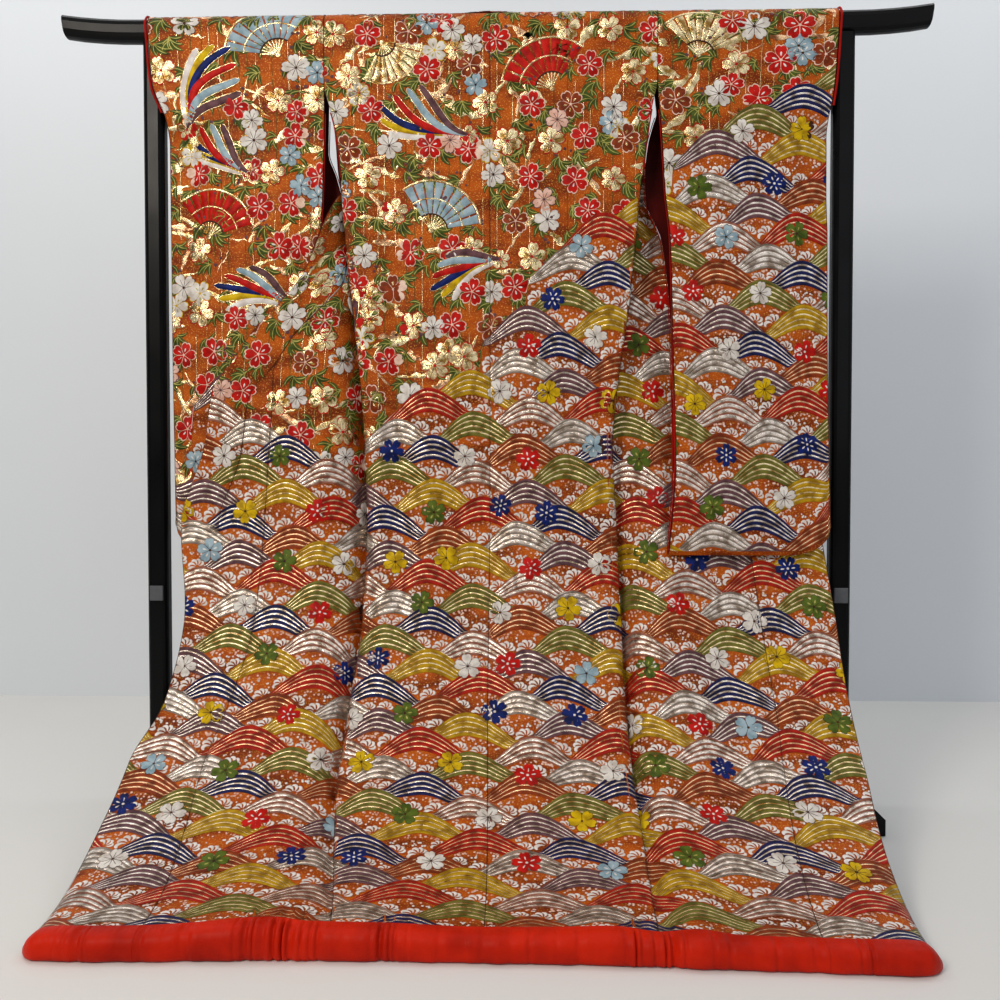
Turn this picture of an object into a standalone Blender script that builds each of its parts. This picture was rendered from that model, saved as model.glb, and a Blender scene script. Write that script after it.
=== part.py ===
"""Uchikake wedding kimono hung over a lacquered kimono stand, its train drawn forward on the floor.

Metres, +Z up, X along the stand's rod. The back of the garment and its train face -Y. The origin is
on the floor, at the middle of the whole part's box. "Left" is the wearer's left, at -X.

Places on the cloth are given as (x, s, h): x is the distance from the centre back seam, s the
length down the back from the shoulder, and h the depth behind the smooth curve in which the back
hangs down and sweeps forward over the floor.
"""
import math
from functools import lru_cache

import bmesh
import bpy
from mathutils import Vector

# ---- driving dimensions: stand -------------------------------------------------------------------
ROD_LENGTH = 1.663
ROD_HEIGHT = 0.043
ROD_DEPTH = 0.036
ROD_CENTRE_Z = 1.497
ROD_END_RISE = 0.011
ROD_END_RUN = 0.150
ROD_END_SLANT = 0.006
POST_SPAN = 1.320
POST_SHIFT = 0.006
POST_WIDTH = 0.040
POST_DEPTH = 0.034
FOOT_LENGTH = 0.330
FOOT_WIDTH = 0.074
FOOT_HEIGHT = 0.045
FOOT_CHAMFER = 0.016
RAIL_HEIGHT = 0.034
RAIL_DEPTH = 0.022
RAIL_Z = 0.130
PLATE_WIDTH = 0.026
PLATE_HEIGHT = 0.029
PLATE_DEPTH = 0.004
PLATE_Z = 0.410
PLATE_ROUNDING = 0.001
RAIL_ROUNDING = 0.004
JOINT_GAP = 0.0003

# ---- driving dimensions: garment -----------------------------------------------------------------
GARMENT_X = -0.004
BODY_WALL = 0.003
SLEEVE_WALL = 0.0025
COLLAR_WALL = 0.0045
SEAM_GAP = 0.0003
OVER_ROD_DEPTH = 0.026
OVER_ROD_RISE = 0.0245
SHOULDER_S = 0.023
ROD_QUARTER = 0.040
BEND_S = 0.895
BEND_RADIUS = 0.590
BEND_Z = 0.625
HEM_S = 1.820
HEM_SETTLE_S = 1.560
CENTRE_DRIFT = 0.015
CENTRE_DRIFT_S = 1.200
SHOULDER_WIDTH = 0.316
VENT_END_S = 0.350
VENT_BLEND = 0.050
COLLAR_WIDTH = 0.068
COLLAR_END_S = 0.978
COLLAR_SLANT_MAX = 1.22
COLLAR_GAP_TWIST = 5.0
COLLAR_TWIST_RANGE = (0.100, 0.180, 0.520, 0.660)
NECK_GAP = 0.0008
NECK_LIFT = 0.0020
SLANT_REACH = 0.030
OKUMI_TOP_S = 0.665
HEM_ROLL_DEPTH = 0.036
HEM_REACH = 0.0529
HEM_SWING_START_S = 1.350
EDGING_RADIUS = 0.0026
OPENING_EDGING_RADIUS = 0.0026
OPENING_EDGING_START_S = 0.180

# shallow upright waves of the hanging cloth
WAVE_DEPTH = 0.0035
WAVE_PITCH = 0.235
WAVE_START = 0.12
WAVE_LEAN = 0.18
WAVE_RANGE = (0.250, 0.800, 1.350, 1.780)

FRONT_H = 2.0 * OVER_ROD_DEPTH
HEM_Y = -OVER_ROD_DEPTH - BEND_RADIUS
TRAIN_FRONT_Y = HEM_Y - SEAM_GAP - HEM_REACH
LAYOUT_Y = -(TRAIN_FRONT_Y + FOOT_LENGTH / 2.0) / 2.0

# Half of the garment from the centre back seam outwards, a row for each section down the cloth.
# seam: side edge of the back; front: side edge of the front; fold and rise: the deep fold beside
# the side seam; outer: the front's free edge. x is outwards, h is depth.
DOOR_COLUMNS = ("s", "seam_x", "seam_h", "front_x", "front_h", "fold_x", "fold_h", "back_x",
                "back_h", "rise_x", "rise_h", "outer_x", "outer_h", "okumi_x")
LEFT_DOOR = (
    (0.023, 0.316, 0.000, 0.316, 0.052, 0.262, 0.052, 0.205, 0.052, 0.140, 0.052, 0.036, 0.052, 0.400),
    (0.080, 0.316, 0.000, 0.316, 0.052, 0.262, 0.053, 0.210, 0.054, 0.150, 0.055, 0.052, 0.054, 0.400),
    (0.140, 0.316, 0.000, 0.316, 0.052, 0.265, 0.056, 0.220, 0.060, 0.170, 0.062, 0.090, 0.058, 0.400),
    (0.175, 0.307, 0.000, 0.311, 0.048, 0.264, 0.054, 0.226, 0.064, 0.190, 0.068, 0.126, 0.062, 0.400),
    (0.220, 0.295, 0.000, 0.303, 0.038, 0.262, 0.052, 0.232, 0.066, 0.212, 0.074, 0.165, 0.066, 0.400),
    (0.300, 0.285, 0.001, 0.293, 0.018, 0.250, 0.036, 0.228, 0.062, 0.246, 0.074, 0.252, 0.050, 0.400),
    (0.350, 0.283, 0.003, 0.283, 0.003, 0.246, 0.026, 0.228, 0.052, 0.256, 0.062, 0.295, 0.010, 0.400),
    (0.430, 0.277, 0.003, 0.277, 0.003, 0.250, 0.022, 0.238, 0.046, 0.268, 0.040, 0.324, -0.022, 0.400),
    (0.500, 0.270, 0.003, 0.270, 0.003, 0.250, 0.022, 0.244, 0.042, 0.284, 0.004, 0.353, -0.024, 0.404),
    (0.560, 0.264, 0.003, 0.264, 0.003, 0.250, 0.022, 0.250, 0.038, 0.290, -0.006, 0.402, -0.024, 0.408),
    (0.610, 0.259, 0.003, 0.259, 0.003, 0.248, 0.022, 0.252, 0.036, 0.290, -0.008, 0.452, -0.024, 0.410),
    (0.660, 0.253, 0.003, 0.253, 0.003, 0.244, 0.022, 0.250, 0.034, 0.287, -0.008, 0.486, -0.023, 0.412),
    (0.720, 0.248, 0.003, 0.248, 0.003, 0.240, 0.021, 0.247, 0.033, 0.284, -0.008, 0.528, -0.022, 0.414),
    (0.820, 0.242, 0.003, 0.242, 0.003, 0.234, 0.020, 0.242, 0.032, 0.279, -0.007, 0.543, -0.020, 0.422),
    (0.978, 0.237, 0.003, 0.237, 0.003, 0.230, 0.019, 0.238, 0.030, 0.273, -0.005, 0.589, -0.016, 0.432),
    (1.180, 0.238, 0.003, 0.238, 0.003, 0.231, 0.018, 0.239, 0.028, 0.272, -0.002, 0.568, -0.010, 0.440),
    (1.330, 0.246, 0.003, 0.246, 0.003, 0.240, 0.017, 0.247, 0.026, 0.280, 0.000, 0.576, -0.006, 0.462),
    (1.450, 0.246, 0.003, 0.246, 0.003, 0.240, 0.015, 0.247, 0.022, 0.278, 0.000, 0.603, -0.004, 0.478),
    (1.600, 0.229, 0.002, 0.229, 0.002, 0.224, 0.010, 0.231, 0.015, 0.258, 0.000, 0.601, -0.002, 0.466),
    (1.740, 0.204, 0.001, 0.204, 0.001, 0.202, 0.005, 0.209, 0.007, 0.232, 0.000, 0.596, 0.000, 0.450),
    (1.820, 0.192, 0.000, 0.192, 0.000, 0.194, 0.002, 0.201, 0.003, 0.222, 0.000, 0.588, 0.000, 0.445),
)
RIGHT_DOOR = (
    (0.023, 0.316, 0.000, 0.316, 0.052, 0.262, 0.052, 0.205, 0.052, 0.140, 0.052, 0.036, 0.052, 0.440),
    (0.080, 0.316, 0.000, 0.316, 0.052, 0.262, 0.053, 0.210, 0.054, 0.150, 0.055, 0.052, 0.054, 0.440),
    (0.140, 0.316, 0.000, 0.316, 0.052, 0.265, 0.056, 0.225, 0.062, 0.185, 0.066, 0.104, 0.062, 0.440),
    (0.175, 0.308, 0.000, 0.311, 0.047, 0.264, 0.054, 0.236, 0.065, 0.220, 0.073, 0.166, 0.071, 0.440),
    (0.220, 0.300, 0.000, 0.303, 0.037, 0.266, 0.052, 0.248, 0.068, 0.258, 0.078, 0.236, 0.080, 0.440),
    (0.300, 0.290, 0.001, 0.294, 0.018, 0.262, 0.036, 0.258, 0.060, 0.296, 0.070, 0.336, 0.072, 0.440),
    (0.350, 0.284, 0.003, 0.284, 0.003, 0.262, 0.026, 0.264, 0.050, 0.306, 0.066, 0.376, 0.071, 0.440),
    (0.430, 0.277, 0.003, 0.277, 0.003, 0.262, 0.024, 0.272, 0.046, 0.312, 0.062, 0.410, 0.068, 0.440),
    (0.500, 0.270, 0.003, 0.270, 0.003, 0.257, 0.024, 0.268, 0.044, 0.310, 0.058, 0.440, 0.064, 0.440),
    (0.560, 0.264, 0.003, 0.264, 0.003, 0.251, 0.024, 0.262, 0.042, 0.306, 0.056, 0.466, 0.062, 0.440),
    (0.610, 0.257, 0.003, 0.257, 0.003, 0.244, 0.024, 0.256, 0.041, 0.302, 0.053, 0.490, 0.060, 0.440),
    (0.660, 0.250, 0.003, 0.250, 0.003, 0.238, 0.024, 0.250, 0.040, 0.298, 0.050, 0.514, 0.057, 0.442),
    (0.720, 0.242, 0.003, 0.242, 0.003, 0.231, 0.023, 0.243, 0.038, 0.293, 0.046, 0.542, 0.052, 0.452),
    (0.820, 0.234, 0.003, 0.234, 0.003, 0.224, 0.022, 0.236, 0.035, 0.285, 0.036, 0.588, 0.041, 0.470),
    (0.978, 0.241, 0.003, 0.241, 0.003, 0.233, 0.020, 0.242, 0.030, 0.282, 0.016, 0.630, 0.018, 0.492),
    (1.180, 0.246, 0.003, 0.246, 0.003, 0.239, 0.018, 0.247, 0.026, 0.282, 0.000, 0.640, -0.004, 0.504),
    (1.330, 0.246, 0.003, 0.246, 0.003, 0.240, 0.016, 0.247, 0.023, 0.280, 0.000, 0.638, -0.004, 0.508),
    (1.450, 0.248, 0.003, 0.248, 0.003, 0.242, 0.014, 0.249, 0.020, 0.280, 0.000, 0.634, -0.003, 0.500),
    (1.600, 0.252, 0.002, 0.252, 0.002, 0.247, 0.009, 0.254, 0.013, 0.282, 0.000, 0.616, -0.002, 0.484),
    (1.740, 0.250, 0.001, 0.250, 0.001, 0.249, 0.005, 0.256, 0.007, 0.280, 0.000, 0.604, 0.000, 0.470),
    (1.820, 0.248, 0.000, 0.248, 0.000, 0.250, 0.002, 0.257, 0.003, 0.278, 0.000, 0.596, 0.000, 0.462),
)

# Neckline, a row for each angle over the rod (degrees forward of the ridge): where the collar is
# sewn on, and its free edge. x is outwards, rho the length forward of the ridge.
NECK_COLUMNS = ("angle", "seam_x", "free_x", "free_rho")
NECK = (
    (-30.0, 0.000, 0.000, 0.052), (-15.0, 0.030, 0.014, 0.054), (0.0, 0.050, 0.026, 0.058),
    (30.0, 0.068, 0.036, 0.066), (60.0, 0.081, 0.043, 0.076), (90.0, 0.092, 0.048, 0.086),
    (157.5, 0.112, 0.051, 0.097),
)

# Sleeve bag, a row for each height: side edges, mid plane, half of the gap between its halves, and
# how far the inner edge of its front half swings in behind the body below the armhole.
SLEEVE_COLUMNS = ("s", "inner_x", "outer_x", "mid_y", "gap", "tuck")
LEFT_SLEEVE = (
    (0.023, 0.3163, 0.655, 0.0000, 0.0260, 0.000),
    (0.130, 0.3163, 0.647, 0.0000, 0.0240, 0.000),
    (0.205, 0.3170, 0.622, 0.0010, 0.0220, 0.000),
    (0.250, 0.3184, 0.621, 0.0015, 0.0218, 0.000),
    (0.300, 0.3200, 0.621, 0.0022, 0.0214, 0.018),
    (0.350, 0.3220, 0.621, 0.0030, 0.0210, 0.030),
    (0.430, 0.3270, 0.621, 0.0040, 0.0200, 0.010),
    (0.600, 0.3270, 0.621, 0.0050, 0.0180, 0.000),
    (0.850, 0.3270, 0.619, 0.0060, 0.0150, 0.000),
    (1.030, 0.3270, 0.617, 0.0060, 0.0120, 0.000),
)
RIGHT_SLEEVE = (
    (0.023, 0.3163, 0.655, 0.0000, 0.0260, 0.000),
    (0.130, 0.3163, 0.649, 0.0000, 0.0240, 0.000),
    (0.180, 0.3204, 0.643, -0.0006, 0.0226, 0.000),
    (0.205, 0.3230, 0.639, -0.0010, 0.0220, 0.009),
    (0.240, 0.3256, 0.638, -0.0018, 0.0212, 0.021),
    (0.300, 0.3297, 0.638, -0.0030, 0.0200, 0.031),
    (0.350, 0.3330, 0.638, -0.0040, 0.0190, 0.033),
    (0.430, 0.3420, 0.640, -0.0070, 0.0170, 0.012),
    (0.600, 0.3470, 0.640, -0.0120, 0.0150, 0.000),
    (0.850, 0.3520, 0.640, -0.0310, 0.0110, 0.000),
    (1.030, 0.3380, 0.640, -0.0500, 0.0080, 0.000),
)
SLEEVE_END_GAP = 0.0040
CUFF_END_S = 0.240
SLEEVE_BOTTOM_S = 1.030
SLEEVE_CORNER_WIDTH = 0.080
SLEEVE_CORNER_RISE = 0.048

# Padded hem roll, along x: height of its crest, how far it fills its full depth, and how far the hem
# is pulled forward of a straight line.
HEM_COLUMNS = ("x", "crest", "fill", "swing")
HEM_ROLL = (
    (-0.602, 0.011, 0.32, 0.013), (-0.592, 0.024, 0.70, 0.013), (-0.577, 0.033, 0.92, 0.013),
    (-0.550, 0.036, 0.97, 0.013), (-0.470, 0.036, 0.98, 0.011), (-0.380, 0.040, 0.98, 0.008),
    (-0.310, 0.046, 1.00, 0.004), (-0.270, 0.047, 1.00, 0.002), (-0.220, 0.041, 1.00, 0.000),
    (-0.120, 0.040, 0.99, 0.000), (0.000, 0.036, 1.00, 0.000), (0.120, 0.038, 0.99, 0.001),
    (0.190, 0.041, 1.00, 0.003), (0.250, 0.035, 0.98, 0.005), (0.300, 0.040, 1.00, 0.007),
    (0.360, 0.034, 0.98, 0.010), (0.470, 0.034, 0.98, 0.015), (0.560, 0.035, 0.97, 0.018),
    (0.588, 0.033, 0.92, 0.018), (0.602, 0.024, 0.70, 0.018), (0.612, 0.011, 0.32, 0.018),
)
GATHER_COLUMNS = ("start_x", "end_x", "pitch", "depth")
GATHERS = (
    (-0.320, -0.190, 0.0135, 0.0018),
    (-0.140, -0.075, 0.0130, 0.0014),
    (0.195, 0.290, 0.0140, 0.0018),
    (-0.560, -0.500, 0.0150, 0.0012),
    (0.480, 0.540, 0.0150, 0.0012),
)
GATHER_STEP = 0.0045
GATHER_FADE = 0.020
PLAIN_STEP = 0.030

BODY_ROWS = (0.100, 0.140, 0.175, 0.200, 0.225, 0.250, 0.275, 0.295, 0.315, 0.332, 0.350, 0.375, 0.400,
             0.425, 0.450, 0.475, 0.500, 0.530, 0.560, 0.610, 0.655, 0.665, 0.720, 0.790, 0.860, 0.920,
             0.978, 1.050, 1.120, 1.190, 1.260, 1.330, 1.400, 1.470, 1.540, 1.610, 1.680, 1.750, 1.820)
ROD_ANGLES = (-90.0, -60.0, -30.0, -15.0, 0.0, 30.0, 60.0, 90.0, 157.5)
SLEEVE_DROPS = (0.023, 0.085, 0.140, 0.190, 0.240, 0.340, 0.440, 0.560, 0.700, 0.820, 0.900, 0.955,
                0.990, 1.010, 1.022)
SLEEVE_ARC = (-60.0, -30.0, 0.0, 30.0, 60.0)
SLEEVE_SHARES = (0.0, 0.20, 0.42, 0.62, 0.76, 0.85, 0.92, 0.97, 1.0)
SLEEVE_ROUNDING_S = 0.820
SLEEVE_HEEL = 0.022
SLEEVE_CLOSING_SHARE = 0.50
EDGING_DROPS = (0.023, 0.060, 0.100, 0.140, 0.165, 0.185)
EDGING_LIFT = 0.0020
CUFF_EDGING_END_S = 0.185
VENT_ROWS = (0.190, 0.225, 0.260, 0.290, 0.312)
VENT_EDGING_RADIUS = 0.0020
OKUMI_TIP = 0.004
OKUMI_STEP = 0.001
OKUMI_COLUMNS = 3
COLLAR_COLUMNS = 5
COLLAR_END_GAP = 0.0003
PLAIN_CREST = 0.038
HEM_SHARP_ANGLE = 70.0
HEM_SECTION = ((0.16, 0.0), (0.80, 0.0), (0.96, 0.16), (1.0, 0.40), (0.95, 0.64), (0.82, 0.84),
               (0.60, 0.96), (0.34, 1.0), (0.10, 1.0), (0.0, 0.92), (0.0, 0.12))
POST_ROUNDING = 0.010
ROD_ROUNDING = 0.014
ROD_BEND_STEPS = 4
SAMPLE_REACH = 0.0012
SIDE_FOLD_REACH = 0.030
GUIDE_REACH = 0.100
SIDE_BEND = (0.050, 0.020)
BACK_STOPS = (0.0, 0.20, 0.42, 0.63, 0.80, 0.89, 0.93, 0.96, 0.98, 1.0)
FRONT_STOPS = (0.0, 0.04, 0.08, 0.125, 0.17, 0.225, 0.30, 0.42, 0.68, 1.0)


# ---- materials and scene -------------------------------------------------------------------------
def srgb(hex_value):
    """Linear colour of an sRGB hex value."""
    parts = [int(hex_value[k:k + 2], 16) / 255.0 for k in (1, 3, 5)]
    linear = [c / 12.92 if c <= 0.04045 else ((c + 0.055) / 1.055) ** 2.4 for c in parts]
    return (*linear, 1.0)


def material(name, hex_value, roughness, metallic=0.0):
    """A Principled material of one colour."""
    new = bpy.data.materials.new(name)
    new.use_nodes = True
    shader = new.node_tree.nodes["Principled BSDF"]
    shader.inputs["Base Color"].default_value = srgb(hex_value)
    shader.inputs["Roughness"].default_value = roughness
    shader.inputs["Metallic"].default_value = metallic
    return new


def new_object(name, mesh, finish, parts, place=(0.0, 0.0, 0.0)):
    """Put a mesh in the part's collection at a place, with its own copy of a finish."""
    obj = bpy.data.objects.new(name, mesh)
    obj.location = place
    own = finish.copy()
    own.name = name + "_finish"
    mesh.materials.append(own)
    parts.objects.link(obj)
    return obj


def shade_round(mesh, angle=50.0):
    """Smooth shading with the sharp corners kept."""
    mesh.shade_smooth()
    mesh.set_sharp_from_angle(angle=math.radians(angle))


# ---- interpolation -------------------------------------------------------------------------------
def slopes(keys, values):
    """Slopes of a smooth curve through a table that doesn't overshoot its rows."""
    steps = [(values[i + 1] - values[i]) / (keys[i + 1] - keys[i]) for i in range(len(keys) - 1)]
    inner = []
    for before, after in zip(steps, steps[1:]):
        inner.append(0.0 if before * after <= 0.0 else 2.0 * before * after / (before + after))
    return [steps[0], *inner, steps[-1]]


def smooth_at(keys, values, at):
    """Value at a key, on the smooth curve through a table's rows."""
    if at <= keys[0]:
        return values[0]
    if at >= keys[-1]:
        return values[-1]
    i = max(k for k in range(len(keys) - 1) if keys[k] <= at)
    tangent = slopes(keys, values)
    span = keys[i + 1] - keys[i]
    t = (at - keys[i]) / span
    start = values[i] * (1.0 + 2.0 * t) * (1.0 - t) ** 2 + tangent[i] * span * t * (1.0 - t) ** 2
    end = values[i + 1] * t * t * (3.0 - 2.0 * t) + tangent[i + 1] * span * t * t * (t - 1.0)
    return start + end


@lru_cache(maxsize=None)
def row_at(table, columns, at):
    """All columns of a table, read at one key."""
    keys = tuple(row[0] for row in table)
    read = {columns[0]: at}
    for index, column in enumerate(columns[1:], start=1):
        read[column] = smooth_at(keys, tuple(row[index] for row in table), at)
    return read


def ease(start, end, at):
    """Smooth step from 0 at start to 1 at end."""
    t = min(1.0, max(0.0, (at - start) / (end - start)))
    return t * t * (3.0 - 2.0 * t)


def spline_point(points, segment, t):
    """Point on a chord-length Catmull-Rom curve between points[segment] and the next one."""
    p0, p1, p2, p3 = (Vector(points[segment + k]) for k in (-1, 0, 1, 2))
    d0, d1, d2 = (max(1e-6, (b - a).length ** 0.5) for a, b in ((p0, p1), (p1, p2), (p2, p3)))
    m1 = (p2 - p1 + d1 * ((p1 - p0) / d0 - (p2 - p0) / (d0 + d1)))
    m2 = (p2 - p1 + d1 * ((p3 - p2) / d2 - (p3 - p1) / (d1 + d2)))
    return (p1 * (2 * t ** 3 - 3 * t ** 2 + 1) + m1 * (t ** 3 - 2 * t ** 2 + t)
            + p2 * (3 * t ** 2 - 2 * t ** 3) + m2 * (t ** 3 - t ** 2))


def dense_curve(points, steps=26):
    """Points of the curve through all but the first and last, and the length up to each."""
    line = []
    for segment in range(1, len(points) - 2):
        line += [spline_point(points, segment, k / steps) for k in range(steps)]
    line.append(Vector(points[-2]))
    lengths = [0.0]
    for a, b in zip(line, line[1:]):
        lengths.append(lengths[-1] + (b - a).length)
    return line, lengths


def along(line, lengths, distance):
    """Point at a distance along a line; past an end it goes on straight."""
    if distance <= 0.0:
        return line[0] + (line[1] - line[0]).normalized() * distance
    if distance >= lengths[-1]:
        return line[-1] + (line[-1] - line[-2]).normalized() * (distance - lengths[-1])
    low, high = 0, len(lengths) - 1
    while high - low > 1:
        middle = (low + high) // 2
        if lengths[middle] <= distance:
            low = middle
        else:
            high = middle
    return line[low].lerp(line[high], (distance - lengths[low]) / (lengths[high] - lengths[low]))


# ---- the surface on which the body is cut ----------------------------------------------------------
def hem_lift(x):
    """How much higher than plain the hem lies at x, following the padded roll."""
    return row_at(HEM_ROLL, HEM_COLUMNS, x)["crest"] - PLAIN_CREST


def hem_swing(x):
    """How far the hem is pulled forward of a straight line at x."""
    return row_at(HEM_ROLL, HEM_COLUMNS, x)["swing"]


def soft_wave(x, s):
    """Shallow upright folds of the hanging cloth, deepest at knee height."""
    start, full, fading, end = WAVE_RANGE
    strength = ease(start, full, s) * (1.0 - ease(fading, end, s))
    return WAVE_DEPTH * strength * math.sin(2.0 * math.pi * (x / WAVE_PITCH + WAVE_START + WAVE_LEAN * s))


def cloth_point(x, s, h):
    """World point of the cloth at (x, s, h)."""
    h = h + soft_wave(x, s) - hem_lift(x) * ease(HEM_SETTLE_S, HEM_S, s)
    angle = max(0.0, s - BEND_S) / BEND_RADIUS
    if s <= BEND_S:
        y = -OVER_ROD_DEPTH
        z = BEND_Z + BEND_S - s
    else:
        y = -OVER_ROD_DEPTH - BEND_RADIUS * (1.0 - math.cos(angle))
        z = BEND_Z - BEND_RADIUS * math.sin(angle)
        y -= hem_swing(x) * ease(HEM_SWING_START_S, HEM_S, s)
    return Vector((x + GARMENT_X, y + h * math.cos(angle) + LAYOUT_Y, z - h * math.sin(angle)))


def rod_point(x, rho):
    """World point of the cloth that lies over the rod, rho forward of the ridge."""
    if rho >= ROD_QUARTER:
        return cloth_point(x, rho - ROD_QUARTER + SHOULDER_S, FRONT_H)
    if rho <= -ROD_QUARTER:
        return cloth_point(x, SHOULDER_S - ROD_QUARTER - rho, 0.0)
    turn = rho / ROD_QUARTER * math.pi / 2.0
    y = OVER_ROD_DEPTH * math.sin(turn)
    z = ROD_CENTRE_Z + OVER_ROD_RISE * math.cos(turn)
    return Vector((x + GARMENT_X, y + LAYOUT_Y, z))


def door_row(side, s):
    """The row of one side's table at a length s."""
    table = LEFT_DOOR if side < 0 else RIGHT_DOOR
    return row_at(table, DOOR_COLUMNS, s)


@lru_cache(maxsize=None)
def back_curve(side, s):
    """Section of one back panel from the centre seam to its side edge."""
    row = door_row(side, s)
    width = row["seam_x"]
    centre = side * CENTRE_DRIFT * ease(CENTRE_DRIFT_S, HEM_S, s)
    sewn = ease(VENT_END_S - VENT_BLEND, VENT_END_S, s)
    open_end = Vector((width + SIDE_FOLD_REACH, row["seam_h"]))
    beyond = open_end.lerp(Vector((row["fold_x"], row["fold_h"])), sewn)
    points = [(centre - GUIDE_REACH, 0.0), (centre, 0.0), (0.5 * width, 0.0), (width - SIDE_BEND[0], 0.0),
              (width - SIDE_BEND[1], 0.0), (width, row["seam_h"]), tuple(beyond)]
    return dense_curve(points)


@lru_cache(maxsize=None)
def front_curve(side, s):
    """Section of one front, with its okumi and collar, from the side edge to the free edge."""
    row = door_row(side, s)
    start = Vector((row["front_x"], row["front_h"]))
    fold = Vector((row["fold_x"], row["fold_h"]))
    rise = Vector((row["rise_x"], row["rise_h"]))
    outer = Vector((row["outer_x"], row["outer_h"]))
    sewn = ease(VENT_END_S - VENT_BLEND, VENT_END_S, s)
    before = (2.0 * start - fold).lerp(Vector((row["seam_x"] - SIDE_BEND[1], 0.0)), sewn)
    middle = rise.lerp(outer, 0.5)
    beyond = 2.0 * outer - middle
    points = [before, start, fold, Vector((row["back_x"], row["back_h"])), rise, middle, outer, beyond]
    return dense_curve(points)


def curve_point(side, s, curve, distance):
    """World point at a distance along a section of the body."""
    at = along(*curve(side, round(s, 6)), distance)
    return cloth_point(side * at[0], s, at[1])


def front_length(side, s):
    """Length of the front's section at s."""
    return front_curve(side, round(s, 6))[1][-1]


def collar_seam(side, s):
    """Distance along the front's section at which the collar is sewn on."""
    low = max(SHOULDER_S, s - SLANT_REACH)
    high = min(COLLAR_END_S, s + SLANT_REACH)
    ends = [door_row(side, t)["outer_x"] for t in (low, high)]
    slant = math.hypot(1.0, (ends[1] - ends[0]) / (high - low))
    return front_length(side, s) - COLLAR_WIDTH * min(COLLAR_SLANT_MAX, slant)


def okumi_seam(side, s):
    """Distance along the front's section at which the okumi is sewn on."""
    target = door_row(side, s)["okumi_x"]
    line, lengths = front_curve(side, round(s, 6))
    for a, b, start, end in reversed(list(zip(line, line[1:], lengths, lengths[1:]))):
        if a[0] <= target <= b[0]:
            return start + (end - start) * (target - a[0]) / max(1e-9, b[0] - a[0])
    return front_length(side, s)


# ---- walls ---------------------------------------------------------------------------------------
def framed(sample, a, b, turn):
    """Point and unit normal of a surface sample(a, b); turn picks the side that faces outwards."""
    across = sample(a, b + SAMPLE_REACH) - sample(a, b - SAMPLE_REACH)
    down = sample(a + SAMPLE_REACH, b) - sample(a - SAMPLE_REACH, b)
    return sample(a, b), down.cross(across).normalized() * turn


def wall(name, grid, inner, outer, finish, parts):
    """Closed wall over a grid of (point, normal), so much thick on either side of it."""
    mesh = bpy.data.meshes.new(name)
    build = bmesh.new()
    skins = [[[build.verts.new(p + n * depth) for p, n in row] for row in grid]
             for depth in (outer, -inner)]
    rows, columns = len(grid), len(grid[0])
    for skin in skins:
        for i in range(rows - 1):
            for j in range(columns - 1):
                build.faces.new((skin[i][j], skin[i][j + 1], skin[i + 1][j + 1], skin[i + 1][j]))
    rim = [(0, j) for j in range(columns)] + [(i, columns - 1) for i in range(1, rows)]
    rim += [(rows - 1, j) for j in range(columns - 2, -1, -1)] + [(i, 0) for i in range(rows - 2, 0, -1)]
    for (i, j), (k, m) in zip(rim, rim[1:] + rim[:1]):
        build.faces.new((skins[0][i][j], skins[0][k][m], skins[1][k][m], skins[1][i][j]))
    bmesh.ops.recalc_face_normals(build, faces=build.faces)
    build.to_mesh(mesh)
    build.free()
    shade_round(mesh)
    return new_object(name, mesh, finish, parts)


def body_rows(first, last):
    """Lengths of the rows between two lengths, both ends in."""
    return [first] + [s for s in BODY_ROWS if first < s < last] + [last]


def back_row(side, s):
    """One row of a back panel, from the centre seam to its side edge."""
    def sample(a, b):
        return curve_point(side, a, back_curve, b)
    width = back_curve(side, round(s, 6))[1][-1]
    half_gap = SEAM_GAP / 2.0
    ends = (half_gap, width - half_gap)
    return [framed(sample, s, ends[0] + (ends[1] - ends[0]) * stop, side) for stop in BACK_STOPS]


def rod_row(side, angle):
    """One row of a body panel where it passes over the rod."""
    neck = row_at(NECK, NECK_COLUMNS, angle)["seam_x"]
    start = neck + (SEAM_GAP if neck <= 0.0 else NECK_GAP) / 2.0
    end = SHOULDER_WIDTH - SEAM_GAP / 2.0
    rho = angle / 90.0 * ROD_QUARTER
    return [framed(lambda a, b: rod_point(side * b, a), rho, start + (end - start) * stop, -side)
            for stop in BACK_STOPS]


def collar_gap(s):
    """Gap at the collar's seam, wider where the turning front twists it."""
    start, full, fading, end = COLLAR_TWIST_RANGE
    return SEAM_GAP * (1.0 + COLLAR_GAP_TWIST * ease(start, full, s) * (1.0 - ease(fading, end, s)))


def front_edge(side, s):
    """Distance along the front's section at which the front panel ends."""
    collar = collar_seam(side, s) if s <= COLLAR_END_S else front_length(side, s)
    if s < OKUMI_TOP_S:
        return collar
    return min(okumi_seam(side, s), collar - OKUMI_TIP)


def front_row(side, s):
    """One row of a front panel, from its inner edge to the side edge."""
    def sample(a, b):
        return curve_point(side, a, front_curve, b)
    start, end = SEAM_GAP / 2.0, front_edge(side, s) - collar_gap(s) / 2.0
    stops = [start + (end - start) * stop for stop in FRONT_STOPS]
    return [framed(sample, s, stop, side) for stop in reversed(stops)]


def body_panel(name, side, finish, parts):
    """Back and front of one side in a single length of cloth, with no seam at the shoulder."""
    grid = [back_row(side, s) for s in reversed(body_rows(SHOULDER_S, HEM_S))][:-1]
    grid += [rod_row(side, angle) for angle in ROD_ANGLES]
    grid += [front_row(side, s) for s in body_rows(BODY_ROWS[0], HEM_S)]
    return wall(name, grid, BODY_WALL / 2.0, BODY_WALL / 2.0, finish, parts)


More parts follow.
